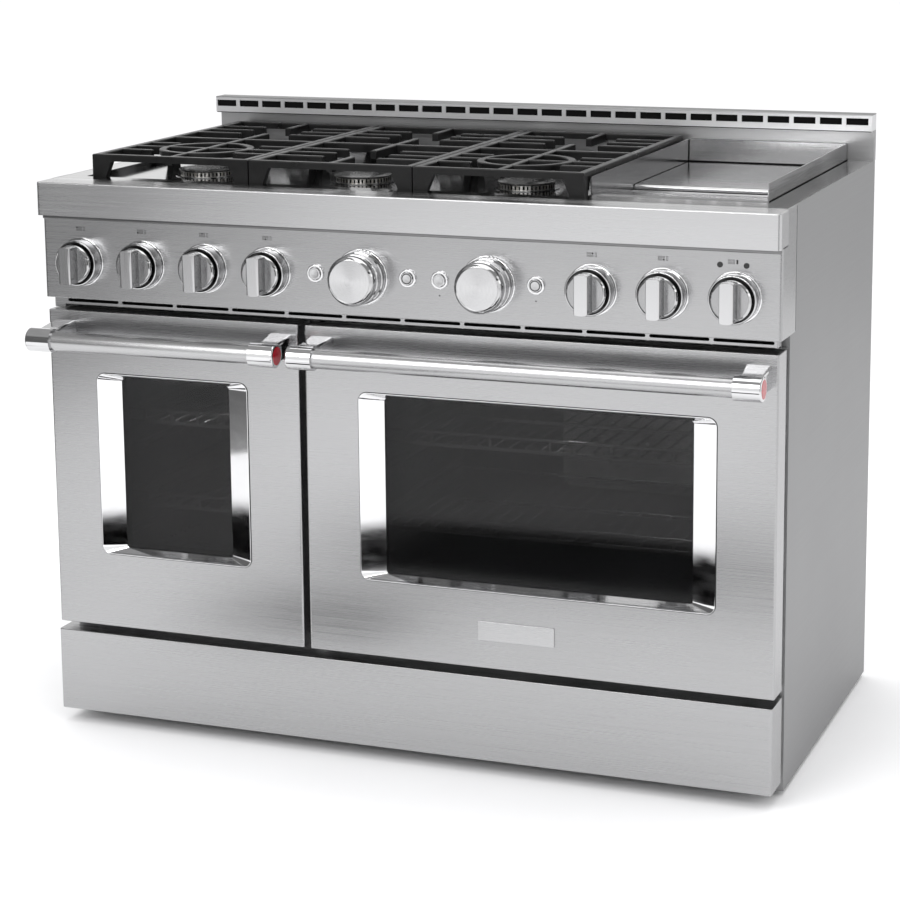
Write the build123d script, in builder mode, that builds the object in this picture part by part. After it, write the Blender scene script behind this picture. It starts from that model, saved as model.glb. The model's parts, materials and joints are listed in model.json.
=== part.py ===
from build123d import *
import os

# Freestanding 48 inch gas range: six burners, a griddle, and two ovens side by side.
# Millimetres. X to the right, Y to the back, Z up, origin on the floor under the centre of the box.

os.makedirs("parts", exist_ok=True)

# ---------------------------------------------------------------- driving dimensions
WIDTH = 1216.0          # over the top trim
BACK_Y = 373.0          # back of the range
DOOR_Y = -285.4         # front face of both doors
TRIM_Y = -303.5         # front face of the top trim
PANEL_Y = -285.9        # front face of the control panel
KICK_Y = -292.5         # front face of the kick panel
SIDE_Y = -223.7         # front edge of the side panels, beside the doors
SEAM_Y = -256.0         # back edge of the side returns of trim and control panel
END_CAP_Y = -198.8      # back edge of the control panel's end caps
FRAME_Y = -226.0        # front face of the sheet that carries the oven openings

SIDE_Z = 8.0            # bottom edge of the side panels above the floor
KICK_Z = (24.5, 160.5)
DOOR_Z = (172.5, 696.0)
PANEL_Z = (716.0, 851.5)
DECK_Z = 905.0          # top of the trim and of the cooktop rim
GUARD_Z = (905.0, 956.5)
HEIGHT = 984.0

SHEET = 1.5             # wall of the folded sheet panels
HALF_SIDE = 604.8       # outer faces of the side panels
HALF_INNER = HALF_SIDE - SHEET
HALF_KICK = 603.3

# doors
LEFT_DOOR_X = (-603.8, -161.6)
RIGHT_DOOR_X = (-151.4, 603.8)
DOOR_DEPTH = 50.0
HINGE_Y = DOOR_Y + 20.0
HINGE_Z = DOOR_Z[0] + 18.0
HINGE_R = 4.0
RUNNING = 0.06          # radial clearance of every pin and shaft in its bore

# windows: outer edge of the bright frame, and the glass that shows inside it
LEFT_WINDOW_X = (-519.0, -251.5)
RIGHT_WINDOW_X = (-60.5, 512.1)
WINDOW_Z = (295.6, 596.0)
BEVEL_SIDE = 38.0
BEVEL_TOP = 9.5

# handles
HANDLE_Y = -353.4
HANDLE_Z = 659.2
BAR_R = 15.25
CAP_R = 19.0
CAP_LENGTH = 43.0
LEFT_HANDLE_X = (-599.0, -166.0)
RIGHT_HANDLE_X = (-146.0, 599.0)

# control panel, places along X
KNOB_Z = 777.2
BUTTON_Z = 779.2
KNOB_X = (-538.5, -429.0, -319.5, -210.0, 319.5, 429.0, 538.5)
OVEN_KNOB_X = (-51.5, 155.3)
BUTTON_X = (-128.6, 25.0, 77.5, 231.8)
LAMP_X = (514.2, 553.9)
LAMP_Z = 825.1
DOT_X = (76.4, 231.3)
DOT_Z = 755.2
KNOB_R = 36.5
DISC_Y = -320.0
GRIP_Y = -343.0
GRIP_WIDTH = 20.5
OVEN_KNOB_R = 39.5
BUTTON_R = 10.3
SHAFT_R = 4.0

# ovens
CAVITY_LEFT_X = (-547.7, -217.7)
CAVITY_RIGHT_X = (-94.0, 546.0)
CAVITY_Z = (238.0, 652.0)
CAVITY_BACK_Y = 250.0

# cooktop
GRATE_WIDTH = 278.0
GRATE_X = (-417.0, -137.0, 143.0)
GRATE_Y = (-210.0, 330.0)
GRATE_TOP = 941.0
BURNER_Y = (-76.0, 197.0)
PAN_Z = 896.0           # floor of the recessed burner pan
PAN_X = (-568.0, 284.6)
PAN_Y = (-214.0, 340.0)
BURNER_R = 44.0
CAP_TOP = 909.5
BAR = 10.0              # width of a grate bar
BAR_HEIGHT = 14.0
RING_R = 72.0

# griddle
GRIDDLE_X = (285.0, 561.0)
GRIDDLE_Y = (-186.0, 354.0)
WALL_TOP = 933.0
PLATE_Z = 894.0
PLATE_Y = (30.0, 351.0)

LEG_X = 560.0
LEG_Y = (-170.0, 330.0)

# gas train
INLET_X = 520.0
INLET_Z = 120.0
INLET_BOSS_R = 20.0
INLET_BORE_R = 9.1      # tapping drill of a half inch pipe thread
MANIFOLD_Y = -228.0
MANIFOLD_Z = 790.0
MANIFOLD_R = 9.0
FEED_X = 560.0
FEED_Y = 345.0
FEED_R = 7.0


# ---------------------------------------------------------------- helpers
def block(x, y, z, mode=Mode.ADD):
    """A box between two corners, in the active part."""
    size = (x[1] - x[0], y[1] - y[0], z[1] - z[0])
    with Locations(((x[0] + x[1]) / 2, (y[0] + y[1]) / 2, (z[0] + z[1]) / 2)):
        Box(*size, mode=mode)


def front_rounded(x, y, z, radius, mode=Mode.ADD):
    """A block whose two upright front edges are rounded."""
    with BuildSketch(Plane.XY.offset(z[0])) as outline:
        with Locations(((x[0] + x[1]) / 2, (y[0] + y[1]) / 2)):
            Rectangle(x[1] - x[0], y[1] - y[0])
        fillet(outline.vertices().group_by(Axis.Y)[0], radius)
    extrude(outline.sketch, amount=z[1] - z[0], mode=mode)


def disc_y(x, z, radius, y, mode=Mode.ADD):
    """A cylinder along Y between two Y values."""
    with BuildSketch(Plane.XZ.offset(-y[1])) as outline:
        with Locations((x, z)):
            Circle(radius)
    extrude(outline.sketch, amount=y[1] - y[0], mode=mode)


def rod_x(x, y, z, radius, mode=Mode.ADD):
    """A cylinder along X between two X values."""
    with BuildSketch(Plane.YZ.offset(x[0])) as outline:
        with Locations((y, z)):
            Circle(radius)
    extrude(outline.sketch, amount=x[1] - x[0], mode=mode)


def rounded_plate(x, z, radius, y, mode=Mode.ADD):
    """An upright plate with rounded corners, between two Y values."""
    with BuildSketch(Plane.XZ.offset(-y[1])) as outline:
        with Locations(((x[0] + x[1]) / 2, (z[0] + z[1]) / 2)):
            RectangleRounded(x[1] - x[0], z[1] - z[0], radius)
    extrude(outline.sketch, amount=y[1] - y[0], mode=mode)


def grow(span, by):
    return (span[0] - by, span[1] + by)


def finish(piece, name):
    piece.label = name
    export_step(piece, f"parts/{name}.step")


# ---------------------------------------------------------------- outer casing
with BuildPart() as side_panels:
    inner = (HALF_INNER, HALF_SIDE)
    block(inner, (SIDE_Y, BACK_Y), (SIDE_Z, PANEL_Z[0] - 0.5))
    block(inner, (END_CAP_Y, BACK_Y), (PANEL_Z[0] - 0.5, DECK_Z))
    block((HALF_SIDE - 22, HALF_SIDE), (SIDE_Y, SIDE_Y + SHEET), (SIDE_Z, PANEL_Z[0] - 0.5))
    block((HALF_SIDE - 22, HALF_SIDE), (BACK_Y - SHEET, BACK_Y), (SIDE_Z, 878))
    block((HALF_SIDE - 30, HALF_SIDE), (SIDE_Y, BACK_Y), (SIDE_Z, SIDE_Z + SHEET))
    for leg_y in LEG_Y:
        block((HALF_SIDE - 60, HALF_SIDE - SHEET), (leg_y - 20, leg_y + 20), (SIDE_Z, SIDE_Z + SHEET),
              Mode.SUBTRACT)
    mirror(about=Plane.YZ)
finish(side_panels.part, "side_panels")

with BuildPart() as rear_cover:
    cover_y = (BACK_Y - 3.2, BACK_Y - 2.0)
    block((-598, 598), cover_y, (34, 876))
    with BuildSketch(Plane.XZ.offset(-cover_y[1])):
        for row in range(4):
            with Locations((0, 700 + 22 * row)):
                with GridLocations(60, 1, 12, 1):
                    SlotOverall(44, 8)
        with Locations((INLET_X, INLET_Z)):
            Circle(INLET_BOSS_R + 2)
        with Locations((INLET_X - 80, INLET_Z)):
            Circle(16)
    extrude(amount=cover_y[1] - cover_y[0], mode=Mode.SUBTRACT)
    with Locations(*[Plane.XZ.offset(-cover_y[1]) * Location((px, pz, 0))
                     for px in (-585, -200, 200, 585) for pz in (60, 450, 850)]):
        Hole(2.2, depth=8)
finish(rear_cover.part, "rear_cover")

with BuildPart() as base_pan:
    pan_x = (-(HALF_INNER - 1), HALF_INNER - 1)
    pan_y = (-220.0, 368.0)
    block(pan_x, pan_y, (30, 31.5))
    block(pan_x, (pan_y[0], pan_y[0] + SHEET), (30, 70))
    block(pan_x, (pan_y[1] - SHEET, pan_y[1]), (30, 70))
    block((pan_x[0], pan_x[0] + SHEET), pan_y, (30, 70))
    block((pan_x[1] - SHEET, pan_x[1]), pan_y, (30, 70))
    for rail_y in LEG_Y:
        block((-580, 580), (rail_y - 18, rail_y + 18), (20, 30))
        block((-577, 577), (rail_y - 15, rail_y + 15), (23, 30), Mode.SUBTRACT)
        block((-580, 580), (rail_y - 18, rail_y + 18), (28.5, 30))
    with Locations(*[(sx * LEG_X, leg_y, 28) for sx in (-1, 1) for leg_y in LEG_Y]):
        Cylinder(14, 16)
    with Locations(*[(sx * LEG_X, leg_y, 28) for sx in (-1, 1) for leg_y in LEG_Y]):
        Cylinder(6.2, 60, mode=Mode.SUBTRACT)
finish(base_pan.part, "base_pan")

with BuildPart() as levelling_legs:
    spots = [(sx * LEG_X, leg_y) for sx in (-1, 1) for leg_y in LEG_Y]
    with BuildSketch(Plane.XY):
        with Locations(*spots):
            Circle(19)
    extrude(amount=5)
    with BuildSketch(Plane.XY.offset(5)):
        with Locations(*spots):
            RegularPolygon(12, 6)
    extrude(amount=9)
    with BuildSketch(Plane.XY.offset(14)):
        with Locations(*spots):
            Circle(6.0)
    extrude(amount=44)
    chamfer(levelling_legs.edges().filter_by(GeomType.CIRCLE).group_by(Axis.Z)[-1], 1)
finish(levelling_legs.part, "levelling_legs")

with BuildPart() as front_frame:
    frame_y = (FRAME_Y, FRAME_Y + SHEET)
    block((-602, 602), frame_y, (34, 696))
    for cavity_x in (CAVITY_LEFT_X, CAVITY_RIGHT_X):
        rounded_plate(grow(cavity_x, 2), grow(CAVITY_Z, 2), 12, frame_y, Mode.SUBTRACT)
    block((-580, 580), (FRAME_Y, FRAME_Y + 18), (694.5, 696))
    block((CAVITY_LEFT_X[1] + 30, CAVITY_RIGHT_X[0] - 30), (FRAME_Y + SHEET, FRAME_Y + 14), (74, 694.5))
    block((CAVITY_LEFT_X[1] + 31.5, CAVITY_RIGHT_X[0] - 31.5), (FRAME_Y + SHEET, FRAME_Y + 14), (74, 694.5),
          Mode.SUBTRACT)
finish(front_frame.part, "front_frame")

with BuildPart() as kick_panel:
    kick_x = (-HALF_KICK, HALF_KICK)
    front_rounded(kick_x, (KICK_Y, -234), KICK_Z, 5)
    front_rounded(grow(kick_x, -SHEET), (KICK_Y + SHEET, -234), grow(KICK_Z, -SHEET), 3.5, Mode.SUBTRACT)
    block(grow(kick_x, -SHEET), (KICK_Y + 22, -234), (KICK_Z[0], KICK_Z[0] + SHEET), Mode.SUBTRACT)
    fillet(kick_panel.edges().filter_by(Axis.X).group_by(Axis.Y)[0], 1.0)
finish(kick_panel.part, "kick_panel")

with BuildPart() as top_trim:
    half = WIDTH / 2
    trim_z = (PANEL_Z[1], DECK_Z)
    front_rounded((-half, half), (TRIM_Y, -245), trim_z, 6)
    front_rounded((-half + 2, half - 2), (TRIM_Y + 2, -240), grow(trim_z, -2), 4, Mode.SUBTRACT)
    for side in (-1, 1):
        edge = sorted((side * HALF_INNER - side * 0.3, side * (half + 1)))
        block(edge, (SEAM_Y, -240), (trim_z[0], trim_z[1]), Mode.SUBTRACT)
    block((-half, half), (PANEL_Y - 2, -240), (trim_z[0] - 1, trim_z[0] + 2), Mode.SUBTRACT)
    fillet(top_trim.edges().filter_by(Axis.X).group_by(Axis.Y)[0].group_by(Axis.Z)[-1], 1.8)
finish(top_trim.part, "top_trim")

with BuildPart() as control_panel:
    panel_x = (-607.2, 607.2)
    front_rounded(panel_x, (PANEL_Y, SEAM_Y), PANEL_Z, 5)
    front_rounded(grow(panel_x, -SHEET), (PANEL_Y + SHEET, SEAM_Y + 1), (PANEL_Z[0] + SHEET, PANEL_Z[1] + 1),
                  3.5, Mode.SUBTRACT)
    holes_y = (PANEL_Y - 1, PANEL_Y + 3)
    for knob_x in KNOB_X + OVEN_KNOB_X:
        disc_y(knob_x, KNOB_Z, 6.5, holes_y, Mode.SUBTRACT)
    for button_x in BUTTON_X:
        disc_y(button_x, BUTTON_Z, BUTTON_R + 0.5, holes_y, Mode.SUBTRACT)
    for lamp_x in LAMP_X:
        disc_y(lamp_x, LAMP_Z, 3.4, holes_y, Mode.SUBTRACT)
    for dot_x in DOT_X:
        disc_y(dot_x, DOT_Z, 1.2, holes_y, Mode.SUBTRACT)
    fillet(control_panel.edges().filter_by(Axis.X).group_by(Axis.Y)[0].group_by(Axis.Z)[0], 1.2)
finish(control_panel.part, "control_panel")

with BuildPart() as control_panel_ends:
    block((HALF_INNER + 0.2, 607), (SEAM_Y + 0.6, END_CAP_Y - 0.4), (PANEL_Z[0], DECK_Z))
    block((HALF_INNER - 20, HALF_INNER + 0.2), (SEAM_Y + 0.6, SEAM_Y + 2.1), (PANEL_Z[0], PANEL_Z[1] - 2))
    fillet(control_panel_ends.edges().filter_by(Axis.Z).group_by(Axis.Y)[-1].group_by(Axis.X)[-1], 1.5)
    mirror(about=Plane.YZ)
finish(control_panel_ends.part, "control_panel_ends")

with BuildPart() as vent_grille:
    strip_z = (703.0, PANEL_Z[0])
    block((-583, 596), (-266, -264.5), strip_z)
    block((-583, 596), (-266, -228), (PANEL_Z[0] - SHEET, PANEL_Z[0]))
    block((-583, 596), (-242, -240.5), (697.5, PANEL_Z[0]))
    block((-602, -583), (-266, -228), (697.5, PANEL_Z[0]))
    with BuildSketch(Plane.XZ.offset(266)):
        with Locations((7, 709.5)):
            with GridLocations(98, 1, 12, 1):
                SlotOverall(92, 5)
    extrude(amount=-3, mode=Mode.SUBTRACT)
    with BuildSketch(Plane.XZ.offset(242)):
        with Locations((7, 704)):
            with GridLocations(98, 1, 12, 1):
                Rectangle(84, 8)
    extrude(amount=-3, mode=Mode.SUBTRACT)
    for rib in range(13):
        rib_x = 7 + 98 * (rib - 6)
        block((rib_x - 1.5, rib_x + 1.5), (-264.5, -242), (702, PANEL_Z[0]))
finish(vent_grille.part, "vent_grille")

# ---------------------------------------------------------------- cooktop
burner_spots = [(grate_x, burner_y) for grate_x in GRATE_X for burner_y in BURNER_Y]

with BuildPart() as cooktop_deck:
    deck_x = (-(HALF_INNER - 0.3), HALF_INNER - 0.3)
    deck_y = (-244.5, 357.0)
    block(deck_x, deck_y, (DECK_Z - SHEET, DECK_Z))
    for side in (-1, 1):
        edge = sorted((side * (HALF_INNER - 0.3), side * (HALF_INNER - 1.8)))
        block(edge, deck_y, (DECK_Z - 25, DECK_Z))
    block(deck_x, (deck_y[0], deck_y[0] + SHEET), (DECK_Z - 20, DECK_Z))
    with BuildSketch(Plane.XY.offset(PAN_Z - SHEET)):
        with Locations(((PAN_X[0] + PAN_X[1]) / 2, (PAN_Y[0] + PAN_Y[1]) / 2)):
            RectangleRounded(PAN_X[1] - PAN_X[0], PAN_Y[1] - PAN_Y[0], 6)
    extrude(amount=DECK_Z - PAN_Z + SHEET)
    with BuildSketch(Plane.XY.offset(PAN_Z)):
        with Locations(((PAN_X[0] + PAN_X[1]) / 2, (PAN_Y[0] + PAN_Y[1]) / 2)):
            RectangleRounded(PAN_X[1] - PAN_X[0] - 3, PAN_Y[1] - PAN_Y[0] - 3, 4.5)
    extrude(amount=DECK_Z - PAN_Z + 1, mode=Mode.SUBTRACT)
    block((PAN_X[1], GRIDDLE_X[1] + 0.3), (GRIDDLE_Y[0] - 0.3, GRIDDLE_Y[1] + 0.3), (PAN_Z - 5, DECK_Z + 1),
          Mode.SUBTRACT)
    rim = cooktop_deck.faces().filter_by(Axis.Z).group_by(Axis.Z)[-1].edges()
    fillet(rim.filter_by(lambda e: abs(e.center().Y - PAN_Y[0] - SHEET) < 0.5
                         or abs(e.center().X - PAN_X[0] - SHEET) < 0.5), 1.2)
    with BuildSketch(Plane.XY.offset(PAN_Z)):
        with Locations(*burner_spots):
            Circle(BURNER_R + 8)
    extrude(amount=1.2)
    with BuildSketch(Plane.XY.offset(PAN_Z - 3)):
        with Locations(*burner_spots):
            Circle(BURNER_R - 6)
    extrude(amount=6, mode=Mode.SUBTRACT)
finish(cooktop_deck.part, "cooktop_deck")

with BuildPart() as burner_head:
    with BuildSketch(Plane.XZ):
        with BuildLine():
            Polyline((0, PAN_Z - 26), (14, PAN_Z - 26), (24, PAN_Z - 4), (BURNER_R - 8, PAN_Z - 1),
                     (BURNER_R - 8, PAN_Z + 1.2), (BURNER_R, PAN_Z + 1.2), (BURNER_R, CAP_TOP - 5),
                     (0, CAP_TOP - 5), close=True)
        make_face()
    revolve(axis=Axis.Z)
    with Locations((0, 0, CAP_TOP - 8.4)):
        with PolarLocations(BURNER_R - 1, 24):
            Box(7, 2.6, 6.9, mode=Mode.SUBTRACT)

with BuildPart() as burner_heads:
    for spot in burner_spots:
        add(burner_head.part.located(Location((*spot, 0))))
finish(burner_heads.part, "burner_heads")

with BuildPart() as burner_cap:
    with BuildSketch(Plane.XZ):
        with BuildLine():
            Polyline((0, CAP_TOP - 4.9), (BURNER_R - 1, CAP_TOP - 4.9), (BURNER_R + 2.5, CAP_TOP - 3.8),
                     (BURNER_R + 2.2, CAP_TOP - 1.6), (BURNER_R - 8, CAP_TOP - 0.3), (0, CAP_TOP), close=True)
        make_face()
    revolve(axis=Axis.Z)
    fillet(burner_cap.edges().filter_by(GeomType.CIRCLE).filter_by(lambda e: e.radius > BURNER_R), 0.8)

with BuildPart() as burner_caps:
    for spot in burner_spots:
        add(burner_cap.part.located(Location((*spot, 0))))
finish(burner_caps.part, "burner_caps")


def grate(centre_x, ringed):
    """One cast grate: a frame on feet, cross bars, and fingers that point at two burners."""
    half = GRATE_WIDTH / 2
    x0, x1 = centre_x - half, centre_x + half
    y0, y1 = GRATE_Y
    middle = (y0 + y1) / 2
    bar_z = (GRATE_TOP - BAR_HEIGHT, GRATE_TOP)
    foot_z = PAN_Z + 0.3
    rail = 12.0
    with BuildPart() as casting:
        with BuildSketch(Plane.XZ.offset(-y1)):
            with BuildLine():
                Polyline((x0, GRATE_TOP), (x1, GRATE_TOP), (x1, foot_z), (x1 - 20, foot_z),
                         (x1 - 34, GRATE_TOP - 11), (x0 + 34, GRATE_TOP - 11), (x0 + 20, foot_z),
                         (x0, foot_z), close=True)
            make_face()
        extrude(amount=rail)
        with BuildSketch(Plane.XZ.offset(-(y0 + rail))):
            with BuildLine():
                Polyline((x0, GRATE_TOP), (x1, GRATE_TOP), (x1, foot_z), (x1 - 20, foot_z),
                         (x1 - 34, GRATE_TOP - 11), (x0 + 34, GRATE_TOP - 11), (x0 + 20, foot_z),
                         (x0, foot_z), close=True)
            make_face()
        extrude(amount=rail)
        for rail_x in (x0, x1 - rail):
            with BuildSketch(Plane.YZ.offset(rail_x)):
                with BuildLine():
                    Polyline((y0, GRATE_TOP), (y1, GRATE_TOP), (y1, foot_z), (y1 - 16, foot_z),
                             (y1 - 30, GRATE_TOP - 13), (middle + 24, GRATE_TOP - 13), (middle + 10, foot_z),
                             (middle - 10, foot_z), (middle - 24, GRATE_TOP - 13), (y0 + 30, GRATE_TOP - 13),
                             (y0 + 16, foot_z), (y0, foot_z), close=True)
                make_face()
            extrude(amount=rail)
        block((x0, x1), (middle - rail / 2, middle + rail / 2), bar_z)
        for index, burner_y in enumerate(BURNER_Y):
            ring = ringed and index == 0
            tip = RING_R + 2 if ring else 47
            for step in (-50, 0, 50):
                if ring and step == 0:
                    block((x0, x1), (burner_y - BAR / 2, burner_y + BAR / 2), bar_z)
                    continue
                block((x0, centre_x - tip), (burner_y + step - BAR / 2, burner_y + step + BAR / 2), bar_z)
                block((centre_x + tip, x1), (burner_y + step - BAR / 2, burner_y + step + BAR / 2), bar_z)
            near, far = (y0, middle) if index == 0 else (middle, y1)
            long_bar = (centre_x - BAR / 2, centre_x + BAR / 2)
            if ring:
                block(long_bar, (near, far), bar_z)
                with BuildSketch(Plane.XY.offset(GRATE_TOP - 9)):
                    with Locations((centre_x, burner_y)):
                        Circle(RING_R + 6)
                        Circle(RING_R - 6, mode=Mode.SUBTRACT)
                extrude(amount=9)
            else:
                block(long_bar, (near, burner_y - 43), bar_z)
                block(long_bar, (burner_y + 43, far), bar_z)
        fillet(casting.edges().group_by(Axis.Z)[-1], 2.0)
    return casting.part


for grate_name, grate_x, has_ring in zip(("left_grate", "middle_grate", "right_grate"), GRATE_X,
                                         (True, False, True)):
    finish(grate(grate_x, has_ring), grate_name)

with BuildPart() as griddle_frame:
    wall_z = (866.0, WALL_TOP)
    block((GRIDDLE_X[0], GRIDDLE_X[0] + 2), GRIDDLE_Y, wall_z)
    block((GRIDDLE_X[1] - 2, GRIDDLE_X[1]), GRIDDLE_Y, wall_z)
    block(GRIDDLE_X, (GRIDDLE_Y[1] - 2, GRIDDLE_Y[1]), wall_z)
    block(GRIDDLE_X, (GRIDDLE_Y[0] + 40, GRIDDLE_Y[1]), (866, 868))
    block(grow(GRIDDLE_X, -60), (GRIDDLE_Y[0] + 70, GRIDDLE_Y[1] - 40), (865, 869), Mode.SUBTRACT)
finish(griddle_frame.part, "griddle_frame")

with BuildPart() as griddle_plate:
    block(grow(GRIDDLE_X, -3), PLATE_Y, (PLATE_Z - 12, PLATE_Z))
    fillet(griddle_plate.edges().filter_by(Axis.X).group_by(Axis.Y)[0].group_by(Axis.Z)[-1], 4)
    for lug_x in (GRIDDLE_X[0] + 40, GRIDDLE_X[1] - 40):
        for lug_y in (PLATE_Y[0] + 30, PLATE_Y[1] - 30):
            with Locations((lug_x, lug_y, PLATE_Z - 17)):
                Cylinder(6, 18)
finish(griddle_plate.part, "griddle_plate")

with BuildPart() as grease_tray:
    tray_x = (GRIDDLE_X[0] + 2.4, GRIDDLE_X[1] - 2.4)
    with BuildSketch(Plane.YZ.offset(tray_x[0])):
        with BuildLine():
            Polyline((GRIDDLE_Y[0] + 0.4, DECK_Z + 0.4), (GRIDDLE_Y[0] + 4, DECK_Z + 1.6),
                     (GRIDDLE_Y[0] + 8, DECK_Z + 0.8), (-16, 889),
                     (-12, 872), (22, 872), (24, 886), (26, 886), (26, 870), (-14, 870), (-18, 886.6),
                     (GRIDDLE_Y[0] + 0.4, DECK_Z - 3), close=True)
        make_face()
    extrude(amount=tray_x[1] - tray_x[0])
    for end in ((tray_x[0], tray_x[0] + 1.5), (tray_x[1] - 1.5, tray_x[1])):
        block(end, (-17, 26), (870, 886))
finish(grease_tray.part, "grease_tray")

with BuildPart() as backguard_panel:
    guard_x = (-605.5, 605.5)
    narrow_x = (-602, 602)
    block(guard_x, (357.5, BACK_Y), GUARD_Z)
    block(grow(guard_x, -SHEET), (359, BACK_Y - SHEET), (GUARD_Z[0] - 1, GUARD_Z[1] + 1), Mode.SUBTRACT)
    block(narrow_x, (357.5, 359), (880, GUARD_Z[0]))
    block(narrow_x, (BACK_Y - SHEET, BACK_Y), (880, GUARD_Z[0]))
    block((narrow_x[0], narrow_x[0] + SHEET), (357.5, BACK_Y), (880, GUARD_Z[0]))
    block((narrow_x[1] - SHEET, narrow_x[1]), (357.5, BACK_Y), (880, GUARD_Z[0]))
finish(backguard_panel.part, "backguard_panel")

with BuildPart() as backguard_vent:
    block(guard_x, (337.6, BACK_Y), (GUARD_Z[1], HEIGHT))
    block(grow(guard_x, -SHEET), (337.6 + SHEET, BACK_Y - SHEET), (GUARD_Z[1] + SHEET, HEIGHT - SHEET),
          Mode.SUBTRACT)
    block(grow(guard_x, -30), (362, BACK_Y - 3), (GUARD_Z[1] - 1, GUARD_Z[1] + 3), Mode.SUBTRACT)
    with BuildSketch(Plane.XZ.offset(-337.6)):
        with Locations((-1.5, 972.2)):
            with GridLocations(44.8, 1, 27, 1):
                Rectangle(37.4, 11.3)
    extrude(amount=-4, mode=Mode.SUBTRACT)
    chamfer(backguard_vent.edges().filter_by(Axis.X).group_by(Axis.Y)[0].group_by(Axis.Z)[-1], 0.8)
finish(backguard_vent.part, "backguard_vent")


# ---------------------------------------------------------------- ovens
def cavity(x, levels):
    """An enamelled oven liner, open at the front, with rack ledges pressed into its sides."""
    with BuildPart() as liner:
        rounded_plate(x, CAVITY_Z, 12, (FRAME_Y - 1.6, CAVITY_BACK_Y))
        rounded_plate(grow(x, 15), grow(CAVITY_Z, 12), 16, (FRAME_Y - 1.6, FRAME_Y - 0.1))
        rounded_plate(grow(x, -SHEET), grow(CAVITY_Z, -SHEET), 10.5,
                      (FRAME_Y - 2, CAVITY_BACK_Y - SHEET), Mode.SUBTRACT)
        for level in levels:
            for edge in ((x[0] + 1, x[0] + 9), (x[1] - 9, x[1] - 1)):
                block(edge, (-200, 225), (level - 5, level - 1))
                block(edge, (-180, 225), (level + 8, level + 11))
    return liner.part


RACK_LEVELS = (290.0, 360.0, 430.0, 500.0, 570.0)
finish(cavity(CAVITY_LEFT_X, RACK_LEVELS), "left_oven_cavity")

FAN_X = sum(CAVITY_RIGHT_X) / 2
FAN_Z = 440.0
with BuildPart() as right_cavity:
    add(cavity(CAVITY_RIGHT_X, RACK_LEVELS))
    disc_y(FAN_X, FAN_Z, 6.0, (CAVITY_BACK_Y - 5, CAVITY_BACK_Y + 5), Mode.SUBTRACT)
finish(right_cavity.part, "right_oven_cavity")

with BuildPart() as convection_fan:
    disc_y(FAN_X, FAN_Z, 70, (CAVITY_BACK_Y - 12, CAVITY_BACK_Y - 10.5))
    with BuildSketch(Plane.XZ.offset(-(CAVITY_BACK_Y - 10.5))):
        with Locations((FAN_X, FAN_Z)):
            with PolarLocations(48, 9):
                Rectangle(36, 1.6)
    extrude(amount=16)
    disc_y(FAN_X, FAN_Z, 5.0, (CAVITY_BACK_Y - 16, CAVITY_BACK_Y + 40))
finish(convection_fan.part, "convection_fan")

with BuildPart() as fan_cover:
    cover_face = (CAVITY_BACK_Y - 36, CAVITY_BACK_Y - 34.8)
    fan_span = (FAN_X - 120, FAN_X + 120)
    rounded_plate(fan_span, (FAN_Z - 100, FAN_Z + 100), 18, (cover_face[0], CAVITY_BACK_Y - SHEET - 0.1))
    rounded_plate(grow(fan_span, -1.2), (FAN_Z - 98.8, FAN_Z + 98.8), 16.8,
                  (cover_face[1], CAVITY_BACK_Y), Mode.SUBTRACT)
    with BuildSketch(Plane.XZ.offset(-cover_face[1])):
        with Locations((FAN_X, FAN_Z)):
            for ring_radius, count in ((20, 8), (34, 14), (48, 20), (62, 26)):
                with PolarLocations(ring_radius, count):
                    Circle(4)
    extrude(amount=2, mode=Mode.SUBTRACT)
finish(fan_cover.part, "fan_cover")


def rack(x, level):
    """A wire oven rack: a heavy outer wire, a raised front rail, and long wires front to back."""
    wide = grow(x, -4.5)
    inner = grow(wide, -15)
    y = (-205.0, 195.0)
    with BuildPart() as wires:
        for rail_y in (y[0], -10, y[1]):
            block(wide, (rail_y - 2.6, rail_y + 2.6), (level, level + 5.2))
        block(inner, (y[0] - 2, y[0] + 2), (level + 20, level + 24))
        for side_x in (wide[0] + 3, wide[1] - 3):
            block((side_x - 2.5, side_x + 2.5), y, (level + 0.2, level + 5))
        count = int((wide[1] - wide[0]) // 26)
        with BuildSketch(Plane.XZ.offset(-y[1] - 1.2)):
            with Locations(((x[0] + x[1]) / 2, level + 6.8)):
                with GridLocations((inner[1] - inner[0]) / (count - 1), 1, count, 1):
                    Circle(1.9)
        extrude(amount=y[1] - y[0] + 2.4)
        with BuildSketch(Plane.XY.offset(level + 3)):
            with Locations(((x[0] + x[1]) / 2, y[0])):
                with GridLocations((inner[1] - inner[0]) / 6 - 1, 1, 7, 1):
                    Rectangle(3.6, 3.6)
        extrude(amount=18)
    return wires.part


with BuildPart() as oven_racks:
    for oven_x in (CAVITY_LEFT_X, CAVITY_RIGHT_X):
        for rack_level in (RACK_LEVELS[1], RACK_LEVELS[3]):
            add(rack(oven_x, rack_level))
finish(oven_racks.part, "oven_racks")

with BuildPart() as tube_burners:
    for oven_x, rows in ((CAVITY_LEFT_X, (0,)), (CAVITY_RIGHT_X, (-120, 120))):
        for row_x in rows:
            centre = sum(oven_x) / 2 + row_x
            disc_y(centre, CAVITY_Z[0] - 18, 12, (-190, 230))
    disc_y(sum(CAVITY_LEFT_X) / 2, CAVITY_Z[1] - 30, 10, (-150, CAVITY_BACK_Y - SHEET - 0.1))
    disc_y(sum(CAVITY_RIGHT_X) / 2, CAVITY_Z[1] - 30, 10, (-150, CAVITY_BACK_Y - SHEET - 0.1))
    for griddle_row in grow(GRIDDLE_X, -80):
        disc_y(griddle_row, 838, 12, (-10, 320))
finish(tube_burners.part, "tube_burners")

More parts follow.
